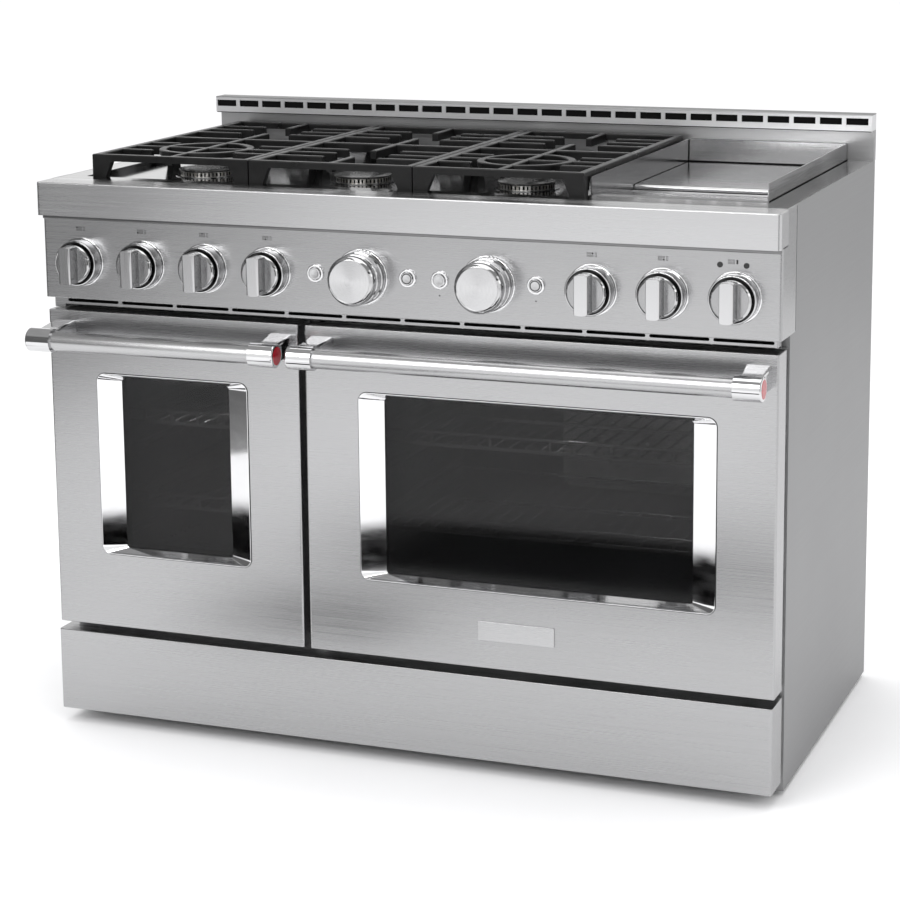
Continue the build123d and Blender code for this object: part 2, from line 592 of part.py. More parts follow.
with BuildPart() as door_gaskets:
    for oven_x in (CAVITY_LEFT_X, CAVITY_RIGHT_X):
        rounded_plate(grow(oven_x, 11), grow(CAVITY_Z, 11), 18, (DOOR_Y + DOOR_DEPTH + 0.4, FRAME_Y - 1.7))
    for oven_x in (CAVITY_LEFT_X, CAVITY_RIGHT_X):
        rounded_plate(grow(oven_x, 2), grow(CAVITY_Z, 2), 10, (DOOR_Y + DOOR_DEPTH, FRAME_Y), Mode.SUBTRACT)
    fillet(door_gaskets.faces().sort_by(Axis.Y)[:2].edges(), 1.8)
finish(door_gaskets.part, "door_gaskets")

# ---------------------------------------------------------------- gas train behind the control panel
with BuildPart() as gas_manifold:
    rod_x((-585, 585), MANIFOLD_Y, MANIFOLD_Z, MANIFOLD_R)
    with BuildLine() as feed:
        FilletPolyline((FEED_X, MANIFOLD_Y, MANIFOLD_Z), (FEED_X, FEED_Y, MANIFOLD_Z),
                       (FEED_X, FEED_Y, INLET_Z), (INLET_X, FEED_Y, INLET_Z), radius=18)
    with BuildSketch(Plane(origin=(FEED_X, MANIFOLD_Y, MANIFOLD_Z), z_dir=(0, 1, 0))):
        Circle(FEED_R)
    sweep(path=feed.wires()[0])
    disc_y(INLET_X, INLET_Z, INLET_BOSS_R, (FEED_Y - 15, BACK_Y - 0.5))
    disc_y(INLET_X, INLET_Z, INLET_BORE_R, (FEED_Y + 7, BACK_Y + 1), Mode.SUBTRACT)
    for knob_x in KNOB_X + OVEN_KNOB_X:
        block((knob_x - 13, knob_x + 13), (-270, MANIFOLD_Y - MANIFOLD_R - 0.1), (KNOB_Z - 14, KNOB_Z + 26))
        disc_y(knob_x, KNOB_Z, 9, (-282, -270))
        disc_y(knob_x, KNOB_Z, SHAFT_R, (-303, -282))
finish(gas_manifold.part, "gas_manifold")

with BuildPart() as control_bezels:
    for knob_x in KNOB_X:
        disc_y(knob_x, KNOB_Z, 39.5, (PANEL_Y - 2.4, PANEL_Y))
    for knob_x in OVEN_KNOB_X:
        disc_y(knob_x, KNOB_Z, 44, (PANEL_Y - 4.0, PANEL_Y))
    for button_x in BUTTON_X:
        disc_y(button_x, BUTTON_Z, 14, (PANEL_Y - 4.0, PANEL_Y))
    rings = control_bezels.edges().filter_by(GeomType.CIRCLE)
    fillet(rings.filter_by(lambda e: e.center().Y < PANEL_Y - 1), 1.4)
    for knob_x in KNOB_X + OVEN_KNOB_X:
        disc_y(knob_x, KNOB_Z, 8.5, (PANEL_Y - 6, PANEL_Y + 1), Mode.SUBTRACT)
    for button_x in BUTTON_X:
        disc_y(button_x, BUTTON_Z, BUTTON_R + 0.5, (PANEL_Y - 6, PANEL_Y + 1), Mode.SUBTRACT)
finish(control_bezels.part, "control_bezels")

with BuildPart() as indicator_lights:
    for lamp_x in LAMP_X:
        disc_y(lamp_x, LAMP_Z, 4.2, (PANEL_Y - 1.2, PANEL_Y))
        disc_y(lamp_x, LAMP_Z, 3.3, (PANEL_Y, PANEL_Y + 8))
    for dot_x in DOT_X:
        disc_y(dot_x, DOT_Z, 1.1, (PANEL_Y - 0.3, PANEL_Y + 6))
finish(indicator_lights.part, "indicator_lights")


def burner_knob(x):
    """A push-and-turn knob: ring, black groove, faced disc and a grip bar across it."""
    with BuildPart() as knob:
        disc_y(x, KNOB_Z, KNOB_R, (-309, -289))
        fillet(knob.edges().filter_by(GeomType.CIRCLE).group_by(Axis.Y)[0], 1.4)
        disc_y(x, KNOB_Z, KNOB_R - 2.5, (-310, -299), Mode.SUBTRACT)
        disc_y(x, KNOB_Z, KNOB_R - 5.5, (DISC_Y, -298))
        chamfer(knob.edges().filter_by(GeomType.CIRCLE)
                .filter_by(lambda e: e.center().Y < DISC_Y + 0.1), 3)
        with BuildSketch(Plane.XZ.offset(2 - DISC_Y)) as grip:
            with Locations((x, KNOB_Z)):
                Rectangle(GRIP_WIDTH, 80)
                Circle(KNOB_R - 5.9, mode=Mode.INTERSECT)
        extrude(amount=DISC_Y - 2 - GRIP_Y)
        fillet(knob.faces().sort_by(Axis.Y)[0].edges(), 1.2)
        disc_y(x, KNOB_Z, 7.5, (-289, -286.3))
        disc_y(x, KNOB_Z, SHAFT_R + RUNNING, (-304, -284), Mode.SUBTRACT)
    return knob.part


for number, knob_x in enumerate(KNOB_X, start=1):
    finish(burner_knob(knob_x), "griddle_knob" if number == 7 else f"burner_knob_{number}")


def oven_knob(x):
    """A stepped oven knob, turned from one profile."""
    with BuildPart() as knob:
        with BuildSketch(Plane.XY) as profile:
            with BuildLine():
                Polyline((0, 290.6), (OVEN_KNOB_R + 1.5, 290.6), (OVEN_KNOB_R + 1.5, 300), (OVEN_KNOB_R, 302),
                         (OVEN_KNOB_R, 316), (OVEN_KNOB_R - 1.8, 317), (OVEN_KNOB_R - 1.8, 320),
                         (OVEN_KNOB_R - 0.4, 321), (OVEN_KNOB_R - 0.4, 328), (OVEN_KNOB_R - 2.6, 332),
                         (OVEN_KNOB_R - 6, 334.6), (OVEN_KNOB_R - 7, 334.0), (0, 334.0), close=True)
            make_face()
        revolve(axis=Axis.Y)
        disc_y(0, 0, SHAFT_R + RUNNING, (284, 306), Mode.SUBTRACT)
    return knob.part.mirror(Plane.XZ).located(Location((x, 0, KNOB_Z)))


for knob_x, knob_name in zip(OVEN_KNOB_X, ("left_oven_knob", "right_oven_knob")):
    finish(oven_knob(knob_x), knob_name)


def push_button(x):
    """A round button with a slightly dished face and a stem for its switch."""
    with BuildPart() as button:
        disc_y(x, BUTTON_Z, BUTTON_R, (-292.4, -283))
        fillet(button.edges().filter_by(GeomType.CIRCLE).group_by(Axis.Y)[0], 1.0)
        disc_y(x, BUTTON_Z, 4, (-283, -274))
    return button.part


BUTTON_NAMES = ("left_light_button", "left_start_button", "right_light_button", "right_start_button")
for button_x, button_name in zip(BUTTON_X, BUTTON_NAMES):
    finish(push_button(button_x), button_name)


# ---------------------------------------------------------------- doors
def hinge_places(door_x):
    return (door_x[0] + 45, door_x[1] - 45)


with BuildPart() as hinge_arms:
    for door_x in (LEFT_DOOR_X, RIGHT_DOOR_X):
        for arm_x in hinge_places(door_x):
            block((arm_x - 2, arm_x + 2), (HINGE_Y, FRAME_Y - 0.1), (HINGE_Z - 7, HINGE_Z + 7))
            rod_x((arm_x - 2, arm_x + 2), HINGE_Y, HINGE_Z, 9)
            rod_x((arm_x - 9, arm_x + 9), HINGE_Y, HINGE_Z, HINGE_R)
            block((arm_x - 8, arm_x + 8), (FRAME_Y - 2.6, FRAME_Y - 0.1), (HINGE_Z - 12, HINGE_Z + 12))
finish(hinge_arms.part, "hinge_arms")


def door_skin(x, window_x):
    """The brushed outer pan of a door, with the window opening and the handle bolt holes."""
    with BuildPart() as skin:
        back = DOOR_Y + DOOR_DEPTH - 4
        front_rounded(x, (DOOR_Y, back), DOOR_Z, 3.5)
        front_rounded(grow(x, -SHEET), (DOOR_Y + SHEET, back + 1), grow(DOOR_Z, -SHEET), 2, Mode.SUBTRACT)
        fillet(skin.edges().filter_by(Axis.X).group_by(Axis.Y)[0], 1.0)
        rounded_plate(grow(window_x, -2), grow(WINDOW_Z, -2), 12, (DOOR_Y - 1, DOOR_Y + 3), Mode.SUBTRACT)
        for arm_x in hinge_places(x):
            block((arm_x - 9.5, arm_x + 9.5), (HINGE_Y - 10, back + 1), (DOOR_Z[0] - 1, DOOR_Z[0] + 3),
                  Mode.SUBTRACT)
    return skin.part


def door_liner(x, window_x):
    """The enamelled inner pan of a door, with its hinge ears."""
    back = DOOR_Y + DOOR_DEPTH
    span, height = grow(x, -2.4), grow(DOOR_Z, -2.4)
    with BuildPart() as liner:
        block(span, (back - 22, back), height)
        block(grow(span, -SHEET), (back - 23, back - 2), grow(height, -SHEET), Mode.SUBTRACT)
        rounded_plate(grow(window_x, -28), grow(WINDOW_Z, -8), 14, (back - 3, back + 1), Mode.SUBTRACT)
        fillet(liner.edges().filter_by(Axis.Z).group_by(Axis.Y)[-1].group_by(Axis.X)[0]
               + liner.edges().filter_by(Axis.Z).group_by(Axis.Y)[-1].group_by(Axis.X)[-1], 1.6)
        for arm_x in hinge_places(x):
            for ear in ((arm_x - 8, arm_x - 5), (arm_x + 5, arm_x + 8)):
                block(ear, (HINGE_Y - 12, back - 1), (height[0] + 1, HINGE_Z + 16))
            slot_z = (DOOR_Z[0] - 1, HINGE_Z + 20)
            block((arm_x - 5, arm_x + 5), (HINGE_Y - 12, back + 1), slot_z, Mode.SUBTRACT)
            rod_x((arm_x - 12, arm_x + 12), HINGE_Y, HINGE_Z, HINGE_R + RUNNING, Mode.SUBTRACT)
    return liner.part


def window_bezel(window_x):
    """The bright frame round a window: wide bevels at the sides, narrow ones above and below."""
    with BuildPart() as bezel:
        rounded_plate(window_x, WINDOW_Z, 14, (DOOR_Y - 1.4, DOOR_Y))
        rounded_plate(grow(window_x, -2.4), grow(WINDOW_Z, -2.4), 12, (DOOR_Y, DOOR_Y + 12))
        inner_x, inner_z = grow(window_x, -BEVEL_SIDE), grow(WINDOW_Z, -BEVEL_TOP)
        centre = ((window_x[0] + window_x[1]) / 2, (WINDOW_Z[0] + WINDOW_Z[1]) / 2)
        with BuildSketch(Plane.XZ.offset(-(DOOR_Y - 1.4))):
            with Locations(centre):
                RectangleRounded(window_x[1] - window_x[0] - 1.6, WINDOW_Z[1] - WINDOW_Z[0] - 1.6, 13)
        with BuildSketch(Plane.XZ.offset(-(DOOR_Y + 12))):
            with Locations(centre):
                RectangleRounded(inner_x[1] - inner_x[0], inner_z[1] - inner_z[0], 5)
        loft(mode=Mode.SUBTRACT)
    return bezel.part


def door_glass(window_x):
    """The two panes of a door window, outer and inner."""
    with BuildPart() as panes:
        rounded_plate(grow(window_x, -BEVEL_SIDE + 14), grow(WINDOW_Z, -3), 6, (DOOR_Y + 12.1, DOOR_Y + 16))
        back = DOOR_Y + DOOR_DEPTH
        rounded_plate(grow(window_x, -18), grow(WINDOW_Z, -2), 6, (back - 6, back - 2.1))
    return panes.part


def handle_bar(span):
    with BuildPart() as bar:
        rod_x((span[0] + CAP_LENGTH - 8, span[1] - CAP_LENGTH + 8), HANDLE_Y, HANDLE_Z, BAR_R)
    return bar.part


def handle_brackets(span):
    """Two end caps, each with a post that widens towards the door."""
    with BuildPart() as brackets:
        for outer, inward in ((span[0], 1), (span[1], -1)):
            inner = outer + inward * CAP_LENGTH
            middle = outer + inward * 22
            ends = sorted((outer, inner))
            rod_x(ends, HANDLE_Y, HANDLE_Z, CAP_R)
            with BuildSketch(Plane.XZ.offset(-(HANDLE_Y + 8))):
                with Locations((middle, HANDLE_Z)):
                    RectangleRounded(34, 27, 4)
            with BuildSketch(Plane.XZ.offset(-(DOOR_Y - 0.1))):
                with Locations((middle + inward * 3, HANDLE_Z + 3)):
                    RectangleRounded(40, 36, 4)
            loft()
        ring = brackets.edges().filter_by(GeomType.CIRCLE).filter_by(lambda e: abs(e.radius - CAP_R) < 0.01)
        fillet(ring.group_by(Axis.X)[0] + ring.group_by(Axis.X)[-1], 3.0)
        for outer, inward in ((span[0], 1), (span[1], -1)):
            inner = outer + inward * CAP_LENGTH
            bore = sorted((inner, inner - inward * 8.2))
            rod_x(bore, HANDLE_Y, HANDLE_Z, BAR_R + 0.05, Mode.SUBTRACT)
        rod_x((span[1] - 1.2, span[1] + 1), HANDLE_Y, HANDLE_Z, 14.5, Mode.SUBTRACT)
    return brackets.part


def handle_medallion(span):
    with BuildPart() as medallion:
        rod_x((span[1] - 1.2, span[1] + 0.4), HANDLE_Y, HANDLE_Z, 14.3)
        fillet(medallion.edges().filter_by(GeomType.CIRCLE).group_by(Axis.X)[-1], 0.6)
    return medallion.part


for door_name, door_x, window_x, handle_x in (
    ("left", LEFT_DOOR_X, LEFT_WINDOW_X, LEFT_HANDLE_X),
    ("right", RIGHT_DOOR_X, RIGHT_WINDOW_X, RIGHT_HANDLE_X),
):
    finish(door_skin(door_x, window_x), f"{door_name}_door_skin")
    finish(door_liner(door_x, window_x), f"{door_name}_door_liner")
    finish(window_bezel(window_x), f"{door_name}_window_bezel")
    finish(door_glass(window_x), f"{door_name}_door_glass")
    finish(handle_bar(handle_x), f"{door_name}_handle_bar")
    finish(handle_brackets(handle_x), f"{door_name}_handle_brackets")
    finish(handle_medallion(handle_x), f"{door_name}_handle_medallion")

with BuildPart() as door_nameplate:
    rounded_plate((134.2, 259.2), (217.5, 248.5), 2, (DOOR_Y - 2.4, DOOR_Y - 0.05))
    fillet(door_nameplate.faces().sort_by(Axis.Y)[0].edges(), 0.7)
finish(door_nameplate.part, "door_nameplate")
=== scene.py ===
import json
import math

import bmesh
import bpy
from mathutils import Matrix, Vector


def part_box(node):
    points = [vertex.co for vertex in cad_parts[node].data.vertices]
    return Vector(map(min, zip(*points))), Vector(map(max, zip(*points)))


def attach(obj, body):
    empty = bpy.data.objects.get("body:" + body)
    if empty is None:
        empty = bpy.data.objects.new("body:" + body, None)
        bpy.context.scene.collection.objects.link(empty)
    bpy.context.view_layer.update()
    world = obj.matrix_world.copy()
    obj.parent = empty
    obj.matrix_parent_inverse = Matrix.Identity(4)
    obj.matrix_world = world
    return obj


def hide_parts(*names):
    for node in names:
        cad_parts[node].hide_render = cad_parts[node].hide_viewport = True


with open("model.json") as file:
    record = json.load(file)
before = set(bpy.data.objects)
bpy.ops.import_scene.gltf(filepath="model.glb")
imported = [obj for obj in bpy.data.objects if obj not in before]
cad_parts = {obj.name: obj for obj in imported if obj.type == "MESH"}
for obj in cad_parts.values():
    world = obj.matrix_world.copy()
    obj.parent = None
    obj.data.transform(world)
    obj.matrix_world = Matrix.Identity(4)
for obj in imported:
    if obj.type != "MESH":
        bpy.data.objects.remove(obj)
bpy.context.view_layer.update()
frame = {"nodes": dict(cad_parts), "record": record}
NODES = frame["nodes"]
MM = 0.001
ROOT = "range_body"


# ---------------------------------------------------------------- material helpers
class Paint:
    """A node material with one Principled shader, and short calls for the nodes that feed it."""

    def __init__(self, name, **constants):
        self.material = bpy.data.materials.new(name)
        self.material.use_nodes = True
        self.tree = self.material.node_tree
        self.shader = self.tree.nodes["Principled BSDF"]
        for socket, value in constants.items():
            self.shader.inputs[socket.replace("_", " ")].default_value = value

    def add(self, kind, **settings):
        node = self.tree.nodes.new(kind)
        for key, value in settings.items():
            setattr(node, key, value)
        return node

    def link(self, out, into):
        self.tree.links.new(out, into)

    def place(self, stretch):
        """Object coordinates in metres, stretched along each axis."""
        coordinates = self.add("ShaderNodeTexCoord")
        mapping = self.add("ShaderNodeMapping")
        mapping.inputs["Scale"].default_value = stretch
        self.link(coordinates.outputs["Object"], mapping.inputs["Vector"])
        return mapping.outputs["Vector"]

    def noise(self, stretch, detail=3.0, rough=0.55):
        texture = self.add("ShaderNodeTexNoise")
        texture.inputs["Scale"].default_value = 1.0
        texture.inputs["Detail"].default_value = detail
        texture.inputs["Roughness"].default_value = rough
        self.link(self.place(stretch), texture.inputs["Vector"])
        return texture.outputs["Fac"]

    def span(self, value, low, high, start=0.3, end=0.7):
        """Maps a noise to a range of numbers."""
        node = self.add("ShaderNodeMapRange")
        node.inputs["From Min"].default_value = start
        node.inputs["From Max"].default_value = end
        node.inputs["To Min"].default_value = low
        node.inputs["To Max"].default_value = high
        self.link(value, node.inputs["Value"])
        return node.outputs["Result"]

    def shade(self, value, dark, light, start=0.3, end=0.7):
        """Maps a noise to a range of colours."""
        node = self.add("ShaderNodeValToRGB")
        node.color_ramp.elements[0].position = start
        node.color_ramp.elements[1].position = end
        node.color_ramp.elements[0].color = (*dark, 1)
        node.color_ramp.elements[1].color = (*light, 1)
        self.link(value, node.inputs["Fac"])
        return node.outputs["Color"]

    def colour(self, out):
        self.link(out, self.shader.inputs["Base Color"])

    def roughness(self, out):
        self.link(out, self.shader.inputs["Roughness"])

    def bump(self, height, strength, distance, under=None):
        node = self.add("ShaderNodeBump")
        node.inputs["Strength"].default_value = strength
        node.inputs["Distance"].default_value = distance
        self.link(height, node.inputs["Height"])
        if under is not None:
            self.link(under, node.inputs["Normal"])
        self.link(node.outputs["Normal"], self.shader.inputs["Normal"])
        return node.outputs["Normal"]

    def grain_direction(self, axis):
        tangent = self.add("ShaderNodeTangent", direction_type="RADIAL", axis=axis)
        self.link(tangent.outputs["Tangent"], self.shader.inputs["Tangent"])


def grey(level):
    return (level, level, level * 1.01)


def brushed(name, level, rough, stretch=(4, 2200, 2200), axis="Z", streak=0.02, relief=0.1):
    """Brushed stainless steel: long fine grain, faint wider streaks, and slow changes from handling."""
    paint = Paint(name, Metallic=1.0, Anisotropic=0.6)
    fine = paint.noise(stretch, detail=4)
    wide = paint.noise([s * 0.1 for s in stretch], detail=3)
    slow = paint.noise((2.5, 2.5, 2.5), detail=2)
    mixed = paint.add("ShaderNodeMath", operation="MULTIPLY_ADD")
    mixed.inputs[1].default_value = 0.85
    paint.link(fine, mixed.inputs[0])
    half = paint.add("ShaderNodeMath", operation="MULTIPLY")
    half.inputs[1].default_value = 0.15
    paint.link(wide, half.inputs[0])
    paint.link(half.outputs[0], mixed.inputs[2])
    paint.colour(paint.shade(mixed.outputs[0], grey(level - streak), grey(level + streak)))
    rough_mix = paint.add("ShaderNodeMath", operation="ADD")
    paint.link(paint.span(fine, rough - 0.05, rough + 0.05), rough_mix.inputs[0])
    paint.link(paint.span(slow, -0.03, 0.03), rough_mix.inputs[1])
    paint.roughness(rough_mix.outputs[0])
    paint.bump(fine, relief, 0.00002)
    paint.grain_direction(axis)
    return paint.material


def paint_shade_beyond(material, axis, edge, share):
    """Paints a steel's colour darker past a place along one axis: painted shade standing in for the darker
    thing it would mirror there.
    """
    tree = material.node_tree
    base = tree.nodes["Principled BSDF"].inputs["Base Color"]
    plain = base.links[0].from_socket
    place = tree.nodes.new("ShaderNodeTexCoord")
    split = tree.nodes.new("ShaderNodeSeparateXYZ")
    step = tree.nodes.new("ShaderNodeMapRange")
    step.inputs["From Min"].default_value = edge - 0.001
    step.inputs["From Max"].default_value = edge + 0.001
    step.inputs["To Min"].default_value = 1.0
    step.inputs["To Max"].default_value = share
    dim = tree.nodes.new("ShaderNodeVectorMath")
    dim.operation = "SCALE"
    tree.links.new(place.outputs["Object"], split.inputs[0])
    tree.links.new(split.outputs[axis], step.inputs["Value"])
    tree.links.new(plain, dim.inputs[0])
    tree.links.new(step.outputs["Result"], dim.inputs["Scale"])
    tree.links.new(dim.outputs[0], base)


def chrome(name, level=0.86, rough=0.05):
    """Polished plate: nearly a mirror, with faint wipe marks in its gloss."""
    paint = Paint(name, Metallic=1.0)
    smear = paint.noise((30, 30, 90), detail=3)
    paint.colour(paint.shade(smear, grey(level - 0.03), grey(level + 0.02)))
    paint.roughness(paint.span(smear, rough * 0.7, rough * 1.5))
    paint.bump(paint.noise((60, 60, 60), detail=1), 0.05, 0.0001)
    return paint.material


def spun(name, centres, level=0.8, rough=0.22):
    """Metal turned on a lathe: fine rings about an axis along Y through each centre."""
    paint = Paint(name, Metallic=1.0, Anisotropic=0.8)
    coordinates = paint.add("ShaderNodeTexCoord")
    split = paint.add("ShaderNodeSeparateXYZ")
    paint.link(coordinates.outputs["Object"], split.inputs[0])
    nearest = None
    for x, z in centres:
        spot = paint.add("ShaderNodeVectorMath", operation="DISTANCE")
        flat = paint.add("ShaderNodeCombineXYZ")
        paint.link(split.outputs["X"], flat.inputs["X"])
        paint.link(split.outputs["Z"], flat.inputs["Z"])
        paint.link(flat.outputs[0], spot.inputs[0])
        spot.inputs[1].default_value = (x, 0, z)
        if nearest is None:
            nearest = spot.outputs["Value"]
        else:
            less = paint.add("ShaderNodeMath", operation="MINIMUM")
            paint.link(nearest, less.inputs[0])
            paint.link(spot.outputs["Value"], less.inputs[1])
            nearest = less.outputs[0]
    ring = paint.add("ShaderNodeTexNoise", noise_dimensions="1D")
    ring.inputs["Scale"].default_value = 1800
    ring.inputs["Detail"].default_value = 2
    paint.link(nearest, ring.inputs["W"])
    paint.colour(paint.shade(ring.outputs["Fac"], grey(level - 0.06), grey(level + 0.06)))
    paint.roughness(paint.span(ring.outputs["Fac"], rough - 0.06, rough + 0.08))
    paint.bump(ring.outputs["Fac"], 0.15, 0.00005)
    paint.grain_direction("Y")
    return paint.material


def cast_iron(name):
    """Black porcelain on cast iron: sandy skin, slightly glossy, a little greyer where pans rub it."""
    paint = Paint(name)
    sand = paint.noise((700, 700, 700), detail=4)
    blotch = paint.noise((35, 35, 35), detail=3)
    paint.colour(paint.shade(blotch, grey(0.004), grey(0.009)))
    paint.roughness(paint.span(blotch, 0.26, 0.4))
    paint.bump(sand, 0.2, 0.0001)
    paint.shader.inputs["Specular IOR Level"].default_value = 0.22
    return paint.material


def enamel(name, dark, light, rough, speckle=None):
    """Fired enamel: smooth, glossy, with a faint orange-peel surface and optional white specks."""
    paint = Paint(name)
    peel = paint.noise((160, 160, 160), detail=2)
    base = paint.shade(peel, dark, light)
    if speckle:
        dots = paint.add("ShaderNodeTexVoronoi")
        dots.inputs["Scale"].default_value = 1.0
        paint.link(paint.place((260, 260, 260)), dots.inputs["Vector"])
        mask = paint.span(dots.outputs["Distance"], 1.0, 0.0, 0.12, 0.2)
        mix = paint.add("ShaderNodeMix", data_type="RGBA")
        paint.link(mask, mix.inputs["Factor"])
        paint.link(base, mix.inputs["A"])
        mix.inputs["B"].default_value = (*speckle, 1)
        base = mix.outputs["Result"]
    paint.colour(base)
    paint.roughness(paint.span(peel, rough * 0.8, rough * 1.3))
    paint.bump(peel, 0.12, 0.0002)
    return paint.material


def galvanised(name):
    """Zinc-coated sheet: overlapping grey spangles."""
    paint = Paint(name, Metallic=1.0)
    spangle = paint.add("ShaderNodeTexVoronoi")
    spangle.inputs["Scale"].default_value = 1.0
    paint.link(paint.place((90, 90, 90)), spangle.inputs["Vector"])
    cloud = paint.noise((12, 12, 12), detail=4)
    mix = paint.add("ShaderNodeMath", operation="MULTIPLY")
    paint.link(spangle.outputs["Color"], mix.inputs[0])
    paint.link(cloud, mix.inputs[1])
    paint.colour(paint.shade(mix.outputs[0], grey(0.42), grey(0.6), 0.05, 0.6))
    paint.roughness(paint.span(cloud, 0.38, 0.55))
    paint.bump(cloud, 0.1, 0.0003)
    return paint.material


def cast_alloy(name):
    """Bare cast aluminium with a machined, slightly heat-stained surface."""
    paint = Paint(name, Metallic=1.0)
    grainy = paint.noise((900, 900, 900), detail=3)
    stain = paint.noise((40, 40, 40), detail=2)
    paint.colour(paint.shade(stain, (0.62, 0.6, 0.56), (0.8, 0.79, 0.77)))
    paint.roughness(paint.span(grainy, 0.22, 0.4))
    paint.bump(grainy, 0.2, 0.0001)
    return paint.material


def brass(name):
    paint = Paint(name, Metallic=1.0)
    tarnish = paint.noise((50, 50, 50), detail=3)
    paint.colour(paint.shade(tarnish, (0.5, 0.36, 0.16), (0.72, 0.56, 0.28)))
    paint.roughness(paint.span(tarnish, 0.25, 0.45))
    paint.bump(tarnish, 0.1, 0.0001)
    return paint.material


def braid(name):
    """Woven glass-fibre sleeve round the oven openings."""
    paint = Paint(name)
    weave = paint.add("ShaderNodeTexWave", bands_direction="DIAGONAL")
    weave.inputs["Scale"].default_value = 1.0
    weave.inputs["Distortion"].default_value = 1.5
    paint.link(paint.place((700, 700, 700)), weave.inputs["Vector"])
    paint.colour(paint.shade(weave.outputs["Fac"], grey(0.09), grey(0.26)))
    paint.roughness(paint.span(weave.outputs["Fac"], 0.8, 0.95))
    paint.bump(weave.outputs["Fac"], 0.5, 0.0005)
    return paint.material


def dark_glass(name, alpha):
    """Tinted oven glass, seen through a little, with faint cleaning smears in the gloss."""
    paint = Paint(name, Alpha=alpha, IOR=1.5, Specular_IOR_Level=0.42)
    smear = paint.noise((5, 5, 9), detail=1)
    paint.colour(paint.shade(smear, grey(0.004), grey(0.006)))
    paint.roughness(paint.span(smear, 0.01, 0.03))
    return paint.material


def gloss(name, dark, light, rough):
    """Glossy moulded plastic or a thick enamel fill."""
    paint = Paint(name)
    cloud = paint.noise((300, 300, 300), detail=2)
    paint.colour(paint.shade(cloud, dark, light))
    paint.roughness(paint.span(cloud, rough * 0.8, rough * 1.3))
    paint.bump(cloud, 0.04, 0.00005)
    return paint.material


knob_nodes = [f"burner_knob_{number}" for number in range(1, 7)] + ["griddle_knob"]
oven_knob_nodes = ["left_oven_knob", "right_oven_knob"]
button_nodes = ["left_light_button", "left_start_button", "right_light_button", "right_start_button"]


def middle(node):
    low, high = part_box(node)
    return (low + high) / 2


def centre_xz(node):
    spot = middle(node)
    return (spot.x, spot.z)


FRONT_STEEL = brushed("front_steel", 0.41, 0.27)
TRIM_STEEL = brushed("trim_steel", 0.56, 0.25)
VENT_STEEL = brushed("vent_steel", 0.8, 0.4)
BACK_STEEL = brushed("backguard_steel", 0.46, 0.36)
TOP_STEEL = brushed("top_steel", 0.25, 0.12, axis="Y", relief=0.02)
# painted shade: the deck right of the griddle and the top edge of the vent box are darkened in colour
paint_shade_beyond(TOP_STEEL, "X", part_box("griddle_frame")[1].x, 0.35)
paint_shade_beyond(VENT_STEEL, "Z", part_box("backguard_vent")[1].z - 1.3 * MM, 0.35)
SIDE_STEEL = brushed("side_steel", 0.31, 0.5, stretch=(2200, 4, 2200), streak=0.01)
BAR_STEEL = brushed("bar_steel", 0.46, 0.26, stretch=(4, 2600, 2600), axis="X")
GRIDDLE_STEEL = brushed("griddle_steel", 0.5, 0.16, stretch=(6, 900, 900), axis="Y", relief=0.02)
WALL_STEEL = brushed("griddle_wall_steel", 0.34, 0.18, stretch=(6, 6, 900), axis="Z", relief=0.02)
CHROME = chrome("polished_chrome", level=0.75)
SPUN_OVEN = spun("turned_oven_knob", [centre_xz(node) for node in oven_knob_nodes], level=0.56, rough=0.2)
SPUN_BUTTON = spun("turned_button", [centre_xz(node) for node in button_nodes], level=0.5, rough=0.2)
SATIN_KNOB = brushed("knob_grip", 0.56, 0.18, stretch=(2600, 2600, 8), axis="Z")
KNOB_CHROME = chrome("knob_chrome", level=0.52, rough=0.07)
CAP_CHROME = chrome("handle_cap_chrome", level=0.64, rough=0.05)
IRON = cast_iron("black_cast_iron")
CAP_ENAMEL = enamel("burner_cap_enamel", grey(0.012), grey(0.022), 0.22)
OVEN_ENAMEL = enamel("oven_enamel", (0.012, 0.014, 0.02), (0.02, 0.023, 0.03), 0.3,
                     speckle=(0.09, 0.095, 0.1))
ZINC = galvanised("galvanised_sheet")
ALLOY = cast_alloy("burner_alloy")
RACK = chrome("rack_wire", level=0.62, rough=0.18)
GLASS = dark_glass("oven_glass", 0.4)
GASKET = braid("gasket_braid")
BRASS = brass("valve_brass")
RED = gloss("red_enamel", (0.28, 0.004, 0.012), (0.4, 0.01, 0.02), 0.12)
BLACK = gloss("black_plastic", grey(0.008), grey(0.014), 0.2)
PRINT = gloss("printed_marks", grey(0.006), grey(0.016), 0.5)
MATTE = gloss("matte_black", grey(0.002), grey(0.004), 0.75)
MATTE.node_tree.nodes["Principled BSDF"].inputs["Specular IOR Level"].default_value = 0.1
KNOB_FACE = spun("turned_knob_face", [centre_xz(node) for node in knob_nodes], level=0.36, rough=0.17)
PLATE_STEEL = brushed("plate_steel", 0.48, 0.24)
# a darker copy of the steel for the trim's rolled lower edge: painted shade
DARKENED_LIP_STEEL = brushed("darkened_lip_steel", 0.2, 0.3)

BY_SLOT = {
    "brushed_steel": FRONT_STEEL, "polished_chrome": CHROME, "turned_steel": SPUN_OVEN, "cast_iron": IRON,
    "black_enamel": CAP_ENAMEL, "oven_enamel": OVEN_ENAMEL, "galvanised_steel": ZINC, "burner_alloy": ALLOY,
    "rack_wire": RACK, "oven_glass": GLASS, "gasket_braid": GASKET, "valve_brass": BRASS,
    "red_enamel": RED, "lamp_lens": BLACK,
}
SPECIAL = {
    "side_panels": SIDE_STEEL, "cooktop_deck": TOP_STEEL, "griddle_plate": GRIDDLE_STEEL,
    "griddle_frame": WALL_STEEL, "grease_tray": GRIDDLE_STEEL, "left_handle_bar": BAR_STEEL,
    "right_handle_bar": BAR_STEEL, "top_trim": TRIM_STEEL, "backguard_vent": VENT_STEEL,
    "door_nameplate": PLATE_STEEL, "backguard_panel": BACK_STEEL, "left_handle_brackets": CAP_CHROME,
    "right_handle_brackets": CAP_CHROME,
}


